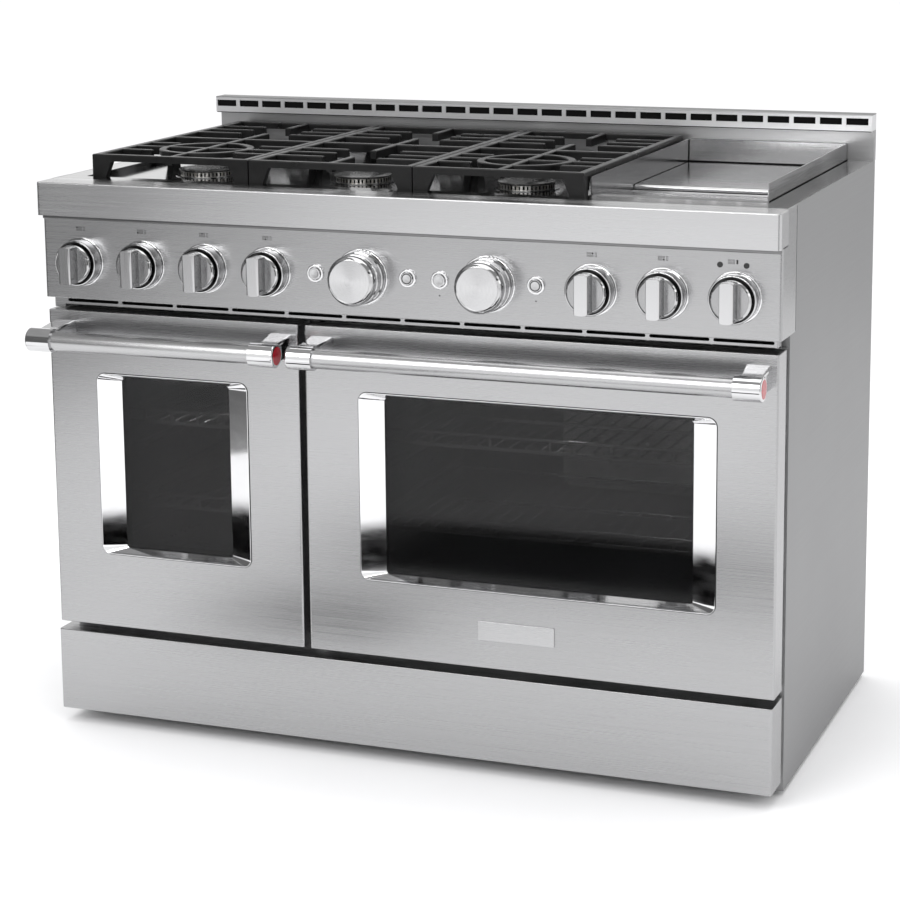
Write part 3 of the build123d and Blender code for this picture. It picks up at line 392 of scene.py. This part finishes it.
def paint_node(node, material):
    mesh = NODES[node].data
    mesh.materials.clear()
    mesh.materials.append(material)


for part in frame["record"]["subparts"]:
    paint_node(part["node"], SPECIAL.get(part["node"], BY_SLOT[part["material_slot"]]))


# ---------------------------------------------------------------- mesh helpers
def thing(name, mesh, body, slot, *materials, smooth=40):
    """Turns a bmesh into a piece that rides on a body."""
    data = bpy.data.meshes.new(name)
    bmesh.ops.remove_doubles(mesh, verts=mesh.verts, dist=1e-6)
    bmesh.ops.recalc_face_normals(mesh, faces=mesh.faces)
    mesh.to_mesh(data)
    mesh.free()
    for material in materials:
        data.materials.append(material)
    for polygon in data.polygons:
        polygon.use_smooth = True
    data.set_sharp_from_angle(angle=math.radians(smooth))
    piece = bpy.data.objects.new(name, data)
    bpy.context.scene.collection.objects.link(piece)
    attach(piece, body)
    return piece


def lathe(mesh, profile, centre, steps=96, material=0):
    """Turns a profile of (radius, depth towards the front) about an axis along Y."""
    rings = []
    for radius, depth in profile:
        if radius < 1e-9:
            rings.append([mesh.verts.new((centre.x, centre.y - depth, centre.z))])
            continue
        rings.append([mesh.verts.new((centre.x + radius * math.cos(turn), centre.y - depth,
                                      centre.z + radius * math.sin(turn)))
                      for turn in (2 * math.pi * step / steps for step in range(steps))])
    for ring, following in zip(rings, rings[1:]):
        for step in range(steps):
            corners = []
            for group, index in ((ring, step), (ring, step + 1), (following, step + 1), (following, step)):
                vertex = group[index % len(group)] if len(group) > 1 else group[0]
                if vertex not in corners:
                    corners.append(vertex)
            if len(corners) > 2:
                mesh.faces.new(corners).material_index = material


def box(mesh, low, high, material=0, round_edges=0.0, segments=2):
    """A closed box between two corners, with its edges rounded if asked."""
    made = bmesh.ops.create_cube(mesh, size=1.0)["verts"]
    low, high = Vector(low), Vector(high)
    size = high - low
    for vertex in made:
        vertex.co = Vector(((vertex.co[i] + 0.5) * size[i] + low[i] for i in range(3)))
    faces = {face for vertex in made for face in vertex.link_faces}
    for face in faces:
        face.material_index = material
    if round_edges:
        edges = list({edge for vertex in made for edge in vertex.link_edges})
        bmesh.ops.bevel(mesh, geom=edges, offset=round_edges, segments=segments, affect="EDGES", profile=0.5)


# ---------------------------------------------------------------- knobs and buttons
SKIRT_BACK = 2.7 * MM       # the knob's skirt starts this far from its shaft end
SKIRT_FRONT = 22.7 * MM
FACE_FRONT = 33.7 * MM      # front of the turned disc
RING_WALL = 2.5 * MM
DISC_INSET = 5.5 * MM       # from the knob's edge to the edge of the turned disc
GROOVE_DEPTH = 9 * MM
GRIP_HALF = 11 * MM         # half the width of the bar across a knob
BUTTON_LENGTH = 18 * MM


def knob_centre(node):
    """The knob's axis at the level of its back face, its radius and its depth."""
    low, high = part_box(node)
    return Vector(((low.x + high.x) / 2, high.y, (low.z + high.z) / 2)), (high.x - low.x) / 2, high.y - low.y


def grip(mesh, centre, half, radius, back, front, sides=2, face=3):
    """The bar across a knob: its ends follow the disc, its long sides are slightly hollowed."""
    levels, steps = 8, 12
    hollow, taper, draw = 1.1 * MM, 0.5 * MM, 0.6 * MM
    outlines = []
    for level in range(levels + 1):
        share = level / levels
        depth = back + (front - back) * share
        narrow = half - hollow * math.sin(math.pi * share) - taper * share
        reach = radius - draw * share
        rise = math.asin(narrow / reach)
        outline = []
        for side in (1, -1):
            for step in range(steps + 1):
                turn = side * math.pi / 2 - rise + 2 * rise * step / steps
                outline.append(mesh.verts.new((centre.x + reach * math.cos(turn), centre.y - depth,
                                               centre.z + reach * math.sin(turn))))
        outlines.append(outline)
    count = len(outlines[0])
    for ring, following in zip(outlines, outlines[1:]):
        for index in range(count):
            mesh.faces.new((ring[index], ring[(index + 1) % count], following[(index + 1) % count],
                            following[index])).material_index = sides
    lid = mesh.faces.new(outlines[-1])
    lid.material_index = face
    bmesh.ops.bevel(mesh, geom=list(lid.edges), offset=0.9 * MM, segments=3, affect="EDGES", profile=0.5)


def turned_knob(node):
    """A burner or griddle knob: outer ring, a groove coloured black as painted shade, chamfered disc, grip
    bar and a pointer notch.
    """
    centre, radius, depth = knob_centre(node)
    inner = radius - RING_WALL
    disc = radius - DISC_INSET
    face_edge = disc - 3.2 * MM
    mesh = bmesh.new()
    lathe(mesh, [(8 * MM, SKIRT_BACK), (radius - 1.6 * MM, SKIRT_BACK), (radius, SKIRT_BACK + 1.5 * MM),
                 (radius, SKIRT_FRONT - 2 * MM), (radius - 0.3 * MM, SKIRT_FRONT - 0.9 * MM),
                 (radius - 0.9 * MM, SKIRT_FRONT - 0.2 * MM), (radius - 1.5 * MM, SKIRT_FRONT),
                 (inner + 0.2 * MM, SKIRT_FRONT), (inner, SKIRT_FRONT - 0.3 * MM),
                 (inner, SKIRT_FRONT - 2 * MM)], centre)
    # the groove between ring and disc takes the black material: painted shade in the gap
    lathe(mesh, [(inner, SKIRT_FRONT - 2 * MM), (inner, SKIRT_FRONT - GROOVE_DEPTH),
                 (disc - 1 * MM, SKIRT_FRONT - GROOVE_DEPTH), (disc - 1 * MM, SKIRT_FRONT - 0.5 * MM)],
          centre, material=1)
    lathe(mesh, [(disc - 1 * MM, SKIRT_FRONT - 0.5 * MM), (disc, SKIRT_FRONT + 0.4 * MM),
                 (disc, FACE_FRONT - 3.4 * MM), (disc - 0.4 * MM, FACE_FRONT - 2.7 * MM),
                 (disc - 2.7 * MM, FACE_FRONT - 0.3 * MM), (face_edge, FACE_FRONT)], centre)
    lathe(mesh, [(face_edge, FACE_FRONT), (0, FACE_FRONT)], centre, material=2)
    grip(mesh, centre, GRIP_HALF, disc - 0.4 * MM, FACE_FRONT - 1 * MM, depth)
    box(mesh, centre + Vector((-0.6 * MM, -SKIRT_FRONT - 0.15 * MM, radius - 2.4 * MM)),
        centre + Vector((0.6 * MM, -SKIRT_FRONT + 1 * MM, radius - 0.4 * MM)), material=1)
    knob = thing(node + "_turned", mesh, node, "polished_chrome", KNOB_CHROME, BLACK, KNOB_FACE, SATIN_KNOB,
                 smooth=28)
    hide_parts(node)


def oven_knob(node):
    """An oven knob: a flange, two stepped rings and a chamfered rim round a slightly domed face."""
    centre, radius, depth = knob_centre(node)
    base = radius - 1.5 * MM
    mesh = bmesh.new()
    lathe(mesh, [(8 * MM, 0.2 * MM), (radius - 0.8 * MM, 0.2 * MM), (radius, 1 * MM), (radius, 8.6 * MM),
                 (radius - 0.5 * MM, 9.6 * MM), (base - 0.6 * MM, 10.4 * MM), (base - 0.6 * MM, 12 * MM),
                 (base, 12.6 * MM), (base, 24.6 * MM), (base - 0.5 * MM, 25.4 * MM),
                 (base - 1.8 * MM, 26 * MM), (base - 1.8 * MM, 29.2 * MM), (base - 0.6 * MM, 30 * MM),
                 (base - 0.6 * MM, 37.2 * MM), (base - 1.2 * MM, 39 * MM), (base - 3 * MM, 41.4 * MM),
                 (base - 5.2 * MM, depth - 0.5 * MM), (base - 6.4 * MM, depth - 0.2 * MM)], centre, steps=128)
    lathe(mesh, [(base - 6.4 * MM, depth - 0.2 * MM), (base - 7 * MM, depth - 0.9 * MM),
                 (base - 7.6 * MM, depth - 0.9 * MM), (0, depth - 0.5 * MM)], centre, steps=128, material=1)
    knob = thing(node + "_turned", mesh, node, "turned_steel", KNOB_CHROME, SPUN_OVEN, smooth=28)
    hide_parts(node)


def button_cap(node):
    """A push button: a rounded rim and a sunk turned face, with a dark ring on the start buttons."""
    centre, radius, depth = knob_centre(node)
    ring_material = 1 if "start" in node else 0
    mesh = bmesh.new()
    lathe(mesh, [(0, depth - BUTTON_LENGTH), (radius, depth - BUTTON_LENGTH), (radius, depth - 1.4 * MM),
                 (radius - 0.4 * MM, depth - 0.5 * MM), (radius - 1.2 * MM, depth), (radius - 2 * MM, depth)],
          centre, steps=64)
    lathe(mesh, [(radius - 2 * MM, depth), (radius - 2.2 * MM, depth - 0.5 * MM),
                 (radius - 3.4 * MM, depth - 0.5 * MM), (radius - 3.6 * MM, depth - 0.1 * MM)],
          centre, steps=64, material=ring_material)
    lathe(mesh, [(radius - 3.6 * MM, depth - 0.1 * MM), (0, depth - 0.7 * MM)], centre, steps=64, material=2)
    cap = thing(node + "_cap", mesh, node, "polished_chrome", KNOB_CHROME, BLACK, SPUN_BUTTON, smooth=28)
    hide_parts(node)


for node in knob_nodes:
    turned_knob(node)
for node in oven_knob_nodes:
    oven_knob(node)
for node in button_nodes:
    button_cap(node)

# ---------------------------------------------------------------- panel marks
ICON_Z = 830 * MM
FILLED_SPOTS = (3, 0, 4, 1, 5, 2, None)     # the burner that each knob controls, None for the griddle
panel_low, panel_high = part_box("control_panel")
panel_front = panel_low.y


def mark(mesh, x, z, line, filled):
    """A small printed square, filled or as an outline."""
    bands = [(x, z)]
    if not filled:
        bands = [((x[0], x[1]), (z[0], z[0] + line)), ((x[0], x[1]), (z[1] - line, z[1])),
                 ((x[0], x[0] + line), (z[0] + line, z[1] - line)),
                 ((x[1] - line, x[1]), (z[0] + line, z[1] - line))]
    for band_x, band_z in bands:
        box(mesh, (band_x[0], panel_front - 0.08 * MM, band_z[0]),
            (band_x[1], panel_front + 0.2 * MM, band_z[1]))


def burner_icon(mesh, x, z, filled, griddle=False):
    """A small plan of the cooktop: six burners and the griddle as outlines, with one filled in."""
    pitch, dot, line = 3.7 * MM, 2.7 * MM, 0.55 * MM
    for index, (column, row) in enumerate((column, row) for row in range(2) for column in range(3)):
        left = x + (column - 1.9) * pitch - dot / 2
        bottom = z + (row - 0.5) * pitch - dot / 2
        mark(mesh, (left, left + dot), (bottom, bottom + dot), line, index == filled)
    left = x + 1.5 * pitch - dot / 2
    mark(mesh, (left, left + dot), (z - 0.5 * pitch - dot / 2, z + 0.5 * pitch + dot / 2), line, griddle)


def panel_marks():
    mesh = bmesh.new()
    for node, filled in zip(knob_nodes, FILLED_SPOTS):
        shift = -4 * MM if filled is None else 0
        burner_icon(mesh, middle(node).x + shift, ICON_Z, filled, filled is None)
    thing("panel_marks", mesh, ROOT, "lamp_lens", PRINT, smooth=20)


panel_marks()

# ---------------------------------------------------------------- burner ports
PORTS = 42
PORT_HALF_WIDTH = 1.3 * MM


def burner_places():
    """The centre, reach and top of each burner head: the heads are loose parts of one node."""
    low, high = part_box("burner_heads")
    rim = [vertex.co for vertex in NODES["burner_heads"].data.vertices
           if abs(vertex.co.z - high.z) < 0.2 * MM]
    third = (high.x - low.x) / 3
    half = (low.y + high.y) / 2
    places = []
    for column in range(3):
        start = low.x + column * third
        for row in range(2):
            group = [point for point in rim
                     if start - MM <= point.x <= start + third + MM and (point.y > half) == bool(row)]
            left, right = min(point.x for point in group), max(point.x for point in group)
            near, far = min(point.y for point in group), max(point.y for point in group)
            places.append(((left + right) / 2, (near + far) / 2, (right - left) / 2, high.z))
    return places


def burner_ports():
    """Flame slots round the side of each burner head, drawn as matte black boxes: painted shade for the open
    ports.
    """
    mesh = bmesh.new()
    for x, y, reach, top in burner_places():
        for port in range(PORTS):
            turn = 2 * math.pi * port / PORTS
            along = Vector((math.cos(turn), math.sin(turn), 0))
            across = Vector((-math.sin(turn), math.cos(turn), 0))
            centre = Vector((x, y, 0)) + along * reach
            corners = []
            for out in (-1.5 * MM, 0.35 * MM):
                for wide in (-PORT_HALF_WIDTH, PORT_HALF_WIDTH):
                    for z in (top - 6.6 * MM, top - 0.6 * MM):
                        spot = centre + along * out + across * wide
                        corners.append(mesh.verts.new((spot.x, spot.y, z)))
            for face in ((0, 1, 3, 2), (4, 6, 7, 5), (0, 4, 5, 1), (2, 3, 7, 6), (0, 2, 6, 4), (1, 5, 7, 3)):
                mesh.faces.new([corners[index] for index in face])
    thing("burner_ports", mesh, ROOT, "black_enamel", MATTE)


burner_ports()

# ---------------------------------------------------------------- dark parts behind and around openings: painted shade sheets and strips, and dark joint lines
GRIDDLE_WALL = 1.9 * MM
WINDOW_RADIUS = 14 * MM
GAP_SHADE_WIDTH = 1.3 * MM
vent_low, vent_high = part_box("backguard_vent")
trim_low, trim_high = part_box("top_trim")


def backguard_shade_baffle():
    """A matte black sheet behind the slots of the backguard: painted shade that makes the slots read dark."""
    mesh = bmesh.new()
    box(mesh, (vent_low.x + 4 * MM, vent_low.y + 2.2 * MM, vent_low.z + 3 * MM),
        (vent_high.x - 4 * MM, vent_low.y + 4 * MM, vent_high.z - 3 * MM), round_edges=0.3 * MM)
    thing("backguard_shade_baffle", mesh, ROOT, "black_enamel", MATTE)


def panel_seams_and_shadow():
    """Dark strips: a painted shadow line under the top trim, and joint lines under the vent box and behind
    the end caps.
    """
    ends_low, ends_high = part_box("control_panel_ends")
    mesh = bmesh.new()
    # painted shadow line where the trim's lower edge shades the panel
    box(mesh, (panel_low.x + 1 * MM, panel_front - 1.2 * MM, trim_low.z - 1.1 * MM),
        (panel_high.x - 1 * MM, panel_front + 0.2 * MM, trim_low.z + 0.2 * MM), round_edges=0.15 * MM)
    box(mesh, (vent_low.x + 1 * MM, vent_low.y + 0.6 * MM, vent_low.z - 1.4 * MM),
        (vent_high.x - 1 * MM, vent_low.y + 3 * MM, vent_low.z + 0.1 * MM), round_edges=0.15 * MM)
    for x in (ends_low.x - 0.05 * MM, ends_high.x - 0.75 * MM):
        box(mesh, (x, ends_high.y - 0.2 * MM, ends_low.z + 1 * MM),
            (x + 0.8 * MM, ends_high.y + 0.5 * MM, ends_high.z - 1 * MM))
    thing("panel_seams_and_shadow", mesh, ROOT, "black_enamel", MATTE)


def trim_lip():
    """The rolled lower edge of the top trim, in a darker copy of the steel: painted shade under the roll."""
    mesh = bmesh.new()
    box(mesh, (trim_low.x + 2 * MM, panel_front - 3 * MM, trim_low.z - 7 * MM),
        (trim_high.x - 2 * MM, panel_front + 0.2 * MM, trim_low.z - 1.1 * MM),
        round_edges=1.2 * MM, segments=3)
    thing("trim_lip", mesh, ROOT, "brushed_steel", DARKENED_LIP_STEEL)


def griddle_seams_and_shadow():
    """Joint lines round the griddle plate and its surround, and a painted shadow strip in front of the plate
    where the grease gutter lies in shade.
    """
    low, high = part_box("griddle_frame")
    plate_low, plate_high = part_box("griddle_plate")
    tray_low, tray_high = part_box("grease_tray")
    deck_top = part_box("cooktop_deck")[1].z
    corner = low.x + GRIDDLE_WALL
    behind_plate = ((corner, plate_high.y + 0.4 * MM, plate_high.z - 2 * MM),
                    (high.x - GRIDDLE_WALL, plate_high.y + 1.4 * MM, plate_high.z + 2.2 * MM))
    left_of_plate = ((plate_low.x - 1.2 * MM, plate_low.y, plate_high.z - 3 * MM),
                     (plate_low.x - 0.1 * MM, plate_high.y, plate_high.z + 0.6 * MM))
    right_of_plate = ((plate_high.x + 0.1 * MM, plate_low.y, plate_high.z - 3 * MM),
                      (plate_high.x + 1.2 * MM, plate_high.y, plate_high.z + 0.6 * MM))
    foot_of_wall = ((high.x, low.y, deck_top - 0.5 * MM), (high.x + 1 * MM, high.y, deck_top + 1.2 * MM))
    rear_corner = ((corner, plate_high.y - 0.4 * MM, plate_high.z),
                   (corner + 1.2 * MM, plate_high.y + 1.2 * MM, high.z - 2 * MM))
    above_rear_wall = ((low.x, high.y - 0.3 * MM, high.z - 1.4 * MM),
                       (high.x, high.y + 0.6 * MM, high.z + 0.1 * MM))
    # painted shadow: the shaded gutter in front of the plate's lower front face
    shadow_before_plate = ((tray_low.x + 2 * MM, plate_low.y - 3.4 * MM, plate_high.z - 14 * MM),
                    (tray_high.x - 2 * MM, plate_low.y - 0.2 * MM, plate_high.z - 7.4 * MM))
    mesh = bmesh.new()
    for corners in (behind_plate, left_of_plate, right_of_plate, foot_of_wall, rear_corner, above_rear_wall,
                    shadow_before_plate):
        box(mesh, *corners, round_edges=0.2 * MM)
    thing("griddle_seams_and_shadow", mesh, ROOT, "black_enamel", MATTE)


def vent_shade_baffle():
    """A matte black sheet behind the slots under the control panel: painted shade that makes the recess read
    dark.
    """
    low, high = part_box("vent_grille")
    mesh = bmesh.new()
    box(mesh, (low.x + 20 * MM, high.y - 15.5 * MM, low.z + 0.4 * MM),
        (high.x - 1 * MM, high.y - 14.4 * MM, high.z - 2 * MM), round_edges=0.3 * MM)
    thing("vent_shade_baffle", mesh, ROOT, "black_enamel", MATTE)


def rounded(x, z, radius, y, mesh, corner_steps=8):
    """The corners of a rounded rectangle in a plane facing the front."""
    ring = []
    for index, (corner_x, corner_z) in enumerate(((x[1], z[1]), (x[0], z[1]), (x[0], z[0]), (x[1], z[0]))):
        inward_x = corner_x + (-radius if index in (0, 3) else radius)
        inward_z = corner_z + (-radius if index in (0, 1) else radius)
        for step in range(corner_steps + 1):
            turn = math.pi / 2 * (index + step / corner_steps)
            ring.append(mesh.verts.new((inward_x + radius * math.cos(turn), y,
                                        inward_z + radius * math.sin(turn))))
    return ring


def band(mesh, rings):
    """Joins rings of equal length into a closed loop of faces."""
    for ring, following in zip(rings, rings[1:] + rings[:1]):
        for step in range(len(ring)):
            mesh.faces.new((ring[step], ring[(step + 1) % len(ring)],
                            following[(step + 1) % len(ring)], following[step]))


def window_gap_shade(side):
    """A thin black ring between a door's skin and its window frame: painted shade in the gap."""
    low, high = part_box(side + "_window_bezel")
    door_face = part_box(side + "_door_skin")[0].y
    back, front = door_face + 0.5 * MM, door_face - 0.25 * MM
    mesh = bmesh.new()
    rings = [rounded((low.x - gap, high.x + gap), (low.z - gap, high.z + gap), WINDOW_RADIUS + gap, y, mesh)
             for gap, y in ((0.0, back), (0.0, front), (GAP_SHADE_WIDTH, front), (GAP_SHADE_WIDTH, back))]
    band(mesh, rings)
    thing(side + "_window_gap_shade", mesh, side + "_door", "black_enamel", BLACK)


backguard_shade_baffle()
panel_seams_and_shadow()
trim_lip()
griddle_seams_and_shadow()
vent_shade_baffle()
for side in ("left", "right"):
    window_gap_shade(side)

# ---------------------------------------------------------------- floor and flags
FLOOR_HALF = 40
FLAG_Z = 0.004              # flags lie just above the floor
SOFT_EDGE = 0.25            # share of a flag that fades out at each side
LINE_RADIUS = 6
LINE_STEP = 25              # degrees between the dark lines that the curved chrome mirrors


def sheet(name, corners, material):
    """A flat rectangle through four corners."""
    mesh = bpy.data.meshes.new(name)
    mesh.from_pydata(corners, [], [(0, 1, 2, 3)])
    mesh.materials.append(material)
    made = bpy.data.objects.new(name, mesh)
    bpy.context.scene.collection.objects.link(made)
    return made


def level_corners(x, y, z):
    return [(x[0], y[0], z), (x[1], y[0], z), (x[1], y[1], z), (x[0], y[1], z)]


def studio_floor():
    paint = Paint("studio_floor", Roughness=0.7)
    paint.colour(paint.shade(paint.noise((3, 3, 3)), grey(0.87), grey(0.89)))
    reach = (-FLOOR_HALF, FLOOR_HALF)
    sheet("studio_floor", level_corners(reach, reach, 0.0), paint.material)


def glow(name, level):
    """An emission that fades to nothing at the edges of a sheet."""
    material = bpy.data.materials.new(name)
    material.use_nodes = True
    tree = material.node_tree
    tree.nodes.clear()
    light = tree.nodes.new("ShaderNodeEmission")
    light.inputs["Color"].default_value = (level, level, level, 1)
    clear = tree.nodes.new("ShaderNodeBsdfTransparent")
    split = tree.nodes.new("ShaderNodeSeparateXYZ")
    place = tree.nodes.new("ShaderNodeTexCoord")
    tree.links.new(place.outputs["UV"], split.inputs[0])
    both = tree.nodes.new("ShaderNodeMath")
    both.operation = "MULTIPLY"
    for index, axis in enumerate(("X", "Y")):
        offset = tree.nodes.new("ShaderNodeMath")
        offset.operation = "SUBTRACT"
        offset.inputs[1].default_value = 0.5
        tree.links.new(split.outputs[axis], offset.inputs[0])
        size = tree.nodes.new("ShaderNodeMath")
        size.operation = "ABSOLUTE"
        tree.links.new(offset.outputs[0], size.inputs[0])
        edge = tree.nodes.new("ShaderNodeMapRange")
        edge.interpolation_type = "SMOOTHSTEP"
        edge.inputs["From Min"].default_value = 0.5
        edge.inputs["From Max"].default_value = 0.5 - SOFT_EDGE
        tree.links.new(size.outputs[0], edge.inputs["Value"])
        tree.links.new(edge.outputs["Result"], both.inputs[index])
    mix = tree.nodes.new("ShaderNodeMixShader")
    tree.links.new(both.outputs[0], mix.inputs["Fac"])
    tree.links.new(clear.outputs[0], mix.inputs[1])
    tree.links.new(light.outputs[0], mix.inputs[2])
    end = tree.nodes.new("ShaderNodeOutputMaterial")
    tree.links.new(mix.outputs[0], end.inputs["Surface"])
    return material


def card(name, corners, level):
    """A grey or black studio flag with soft edges: it shows in reflections only."""
    made = sheet(name, corners, glow(name, level))
    layer = made.data.uv_layers.new(name="card")
    for loop, spot in zip(layer.data, ((0, 0), (1, 0), (1, 1), (0, 1))):
        loop.uv = spot
    made.visible_camera = False
    made.visible_diffuse = False
    made.visible_shadow = False
    made.visible_transmission = False


def level_card(name, x, y, z, level):
    card(name, level_corners(x, y, z), level)


def upright_card(name, foot_a, foot_b, z, level):
    card(name, [(*foot_a, z[0]), (*foot_b, z[0]), (*foot_b, z[1]), (*foot_a, z[1])], level)


studio_floor()
level_card("bevel_flag_a", (-0.8, 0.85), (-1.66, -1.2), FLAG_Z, 0.0)
level_card("bevel_flag_b", (-1.72, -1.0), (-0.94, -0.62), FLAG_Z, 0.0)
level_card("bevel_flag_c", (-0.68, -0.16), (-1.1, -0.78), FLAG_Z, 0.0)
level_card("ceiling_flag", (-9, 9), (-9, 9), 4.2, 0.42)
upright_card("left_flag", (-1.9, -4.0), (-2.2, 0.6), (-0.6, 2.6), 0.15)
upright_card("right_flag", (2.6, -4.6), (3.6, -2.0), (-0.4, 2.4), 0.12)
upright_card("back_flag", (-2.5, 4.0), (2.5, 4.0), (-0.6, 2.0), 0.2)
for turn in range(-100, 100, LINE_STEP):
    ends = [(LINE_RADIUS * math.sin(math.radians(angle)), -LINE_RADIUS * math.cos(math.radians(angle)))
            for angle in (turn - 4, turn + LINE_STEP + 4)]
    upright_card(f"black_line_{turn + 100}", ends[0], ends[1], (2.9, 3.9), 0.0)


# ---------------------------------------------------------------- lights
OVEN_LAMP_WATTS = {"left": 1.0, "right": 2.2}
WORLD_STRENGTH = 1.16


def softbox(name, place, target, size, power):
    """A rectangular studio light that faces a point."""
    light = bpy.data.lights.new(name, "AREA")
    light.shape = "RECTANGLE"
    light.size, light.size_y = size
    light.energy = power
    lamp = bpy.data.objects.new(name, light)
    bpy.context.scene.collection.objects.link(lamp)
    lamp.location = place
    aim = Vector(target) - Vector(place)
    lamp.rotation_euler = aim.to_track_quat("-Z", "Y").to_euler()


def oven_lamp(side, power):
    """A small bulb near the roof of an oven, behind its door."""
    low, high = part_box(side + "_oven_cavity")
    light = bpy.data.lights.new(side + "_oven_lamp", "POINT")
    light.energy = power
    light.shadow_soft_size = 0.03
    bulb = bpy.data.objects.new(side + "_oven_lamp", light)
    bulb.location = ((low.x + high.x) / 2, low.y + 0.12, high.z - 0.07)
    bpy.context.scene.collection.objects.link(bulb)


softbox("key_light", (-1.2, -3.6, 3.2), (0, 0, 0.6), (2.2, 1.6), 55)
softbox("top_light", (0.2, 0.2, 3.6), (0, 0, 0.5), (3.2, 2.6), 45)
softbox("side_light", (4.2, -0.6, 2.6), (0, 0, 0.5), (2.0, 2.0), 12)
softbox("strip_light", (-0.8, -5.2, 2.5), (0, 0, 0.6), (5.0, 0.2), 40)
for side, power in OVEN_LAMP_WATTS.items():
    oven_lamp(side, power)

world = bpy.data.worlds.new("studio")
world.use_nodes = True
background = world.node_tree.nodes["Background"]
background.inputs["Color"].default_value = (1, 1, 1, 1)
background.inputs["Strength"].default_value = WORLD_STRENGTH
bpy.context.scene.world = world
bpy.context.scene.view_settings.view_transform = "Standard"

# ---------------------------------------------------------------- camera
CAMERA_PLACE = (1.422, -3.691, 1.4)
CAMERA_TILT = (79.55, 0.4, 20.39)       # degrees about X, Y and Z
FOCAL_LENGTH = 98.0

lens = bpy.data.cameras.new("camera")
lens.lens = FOCAL_LENGTH
lens.shift_x = -0.04
lens.shift_y = -0.15
camera = bpy.data.objects.new("camera", lens)
bpy.context.scene.collection.objects.link(camera)
camera.location = CAMERA_PLACE
camera.rotation_euler = [math.radians(angle) for angle in CAMERA_TILT]
bpy.context.scene.camera = camera
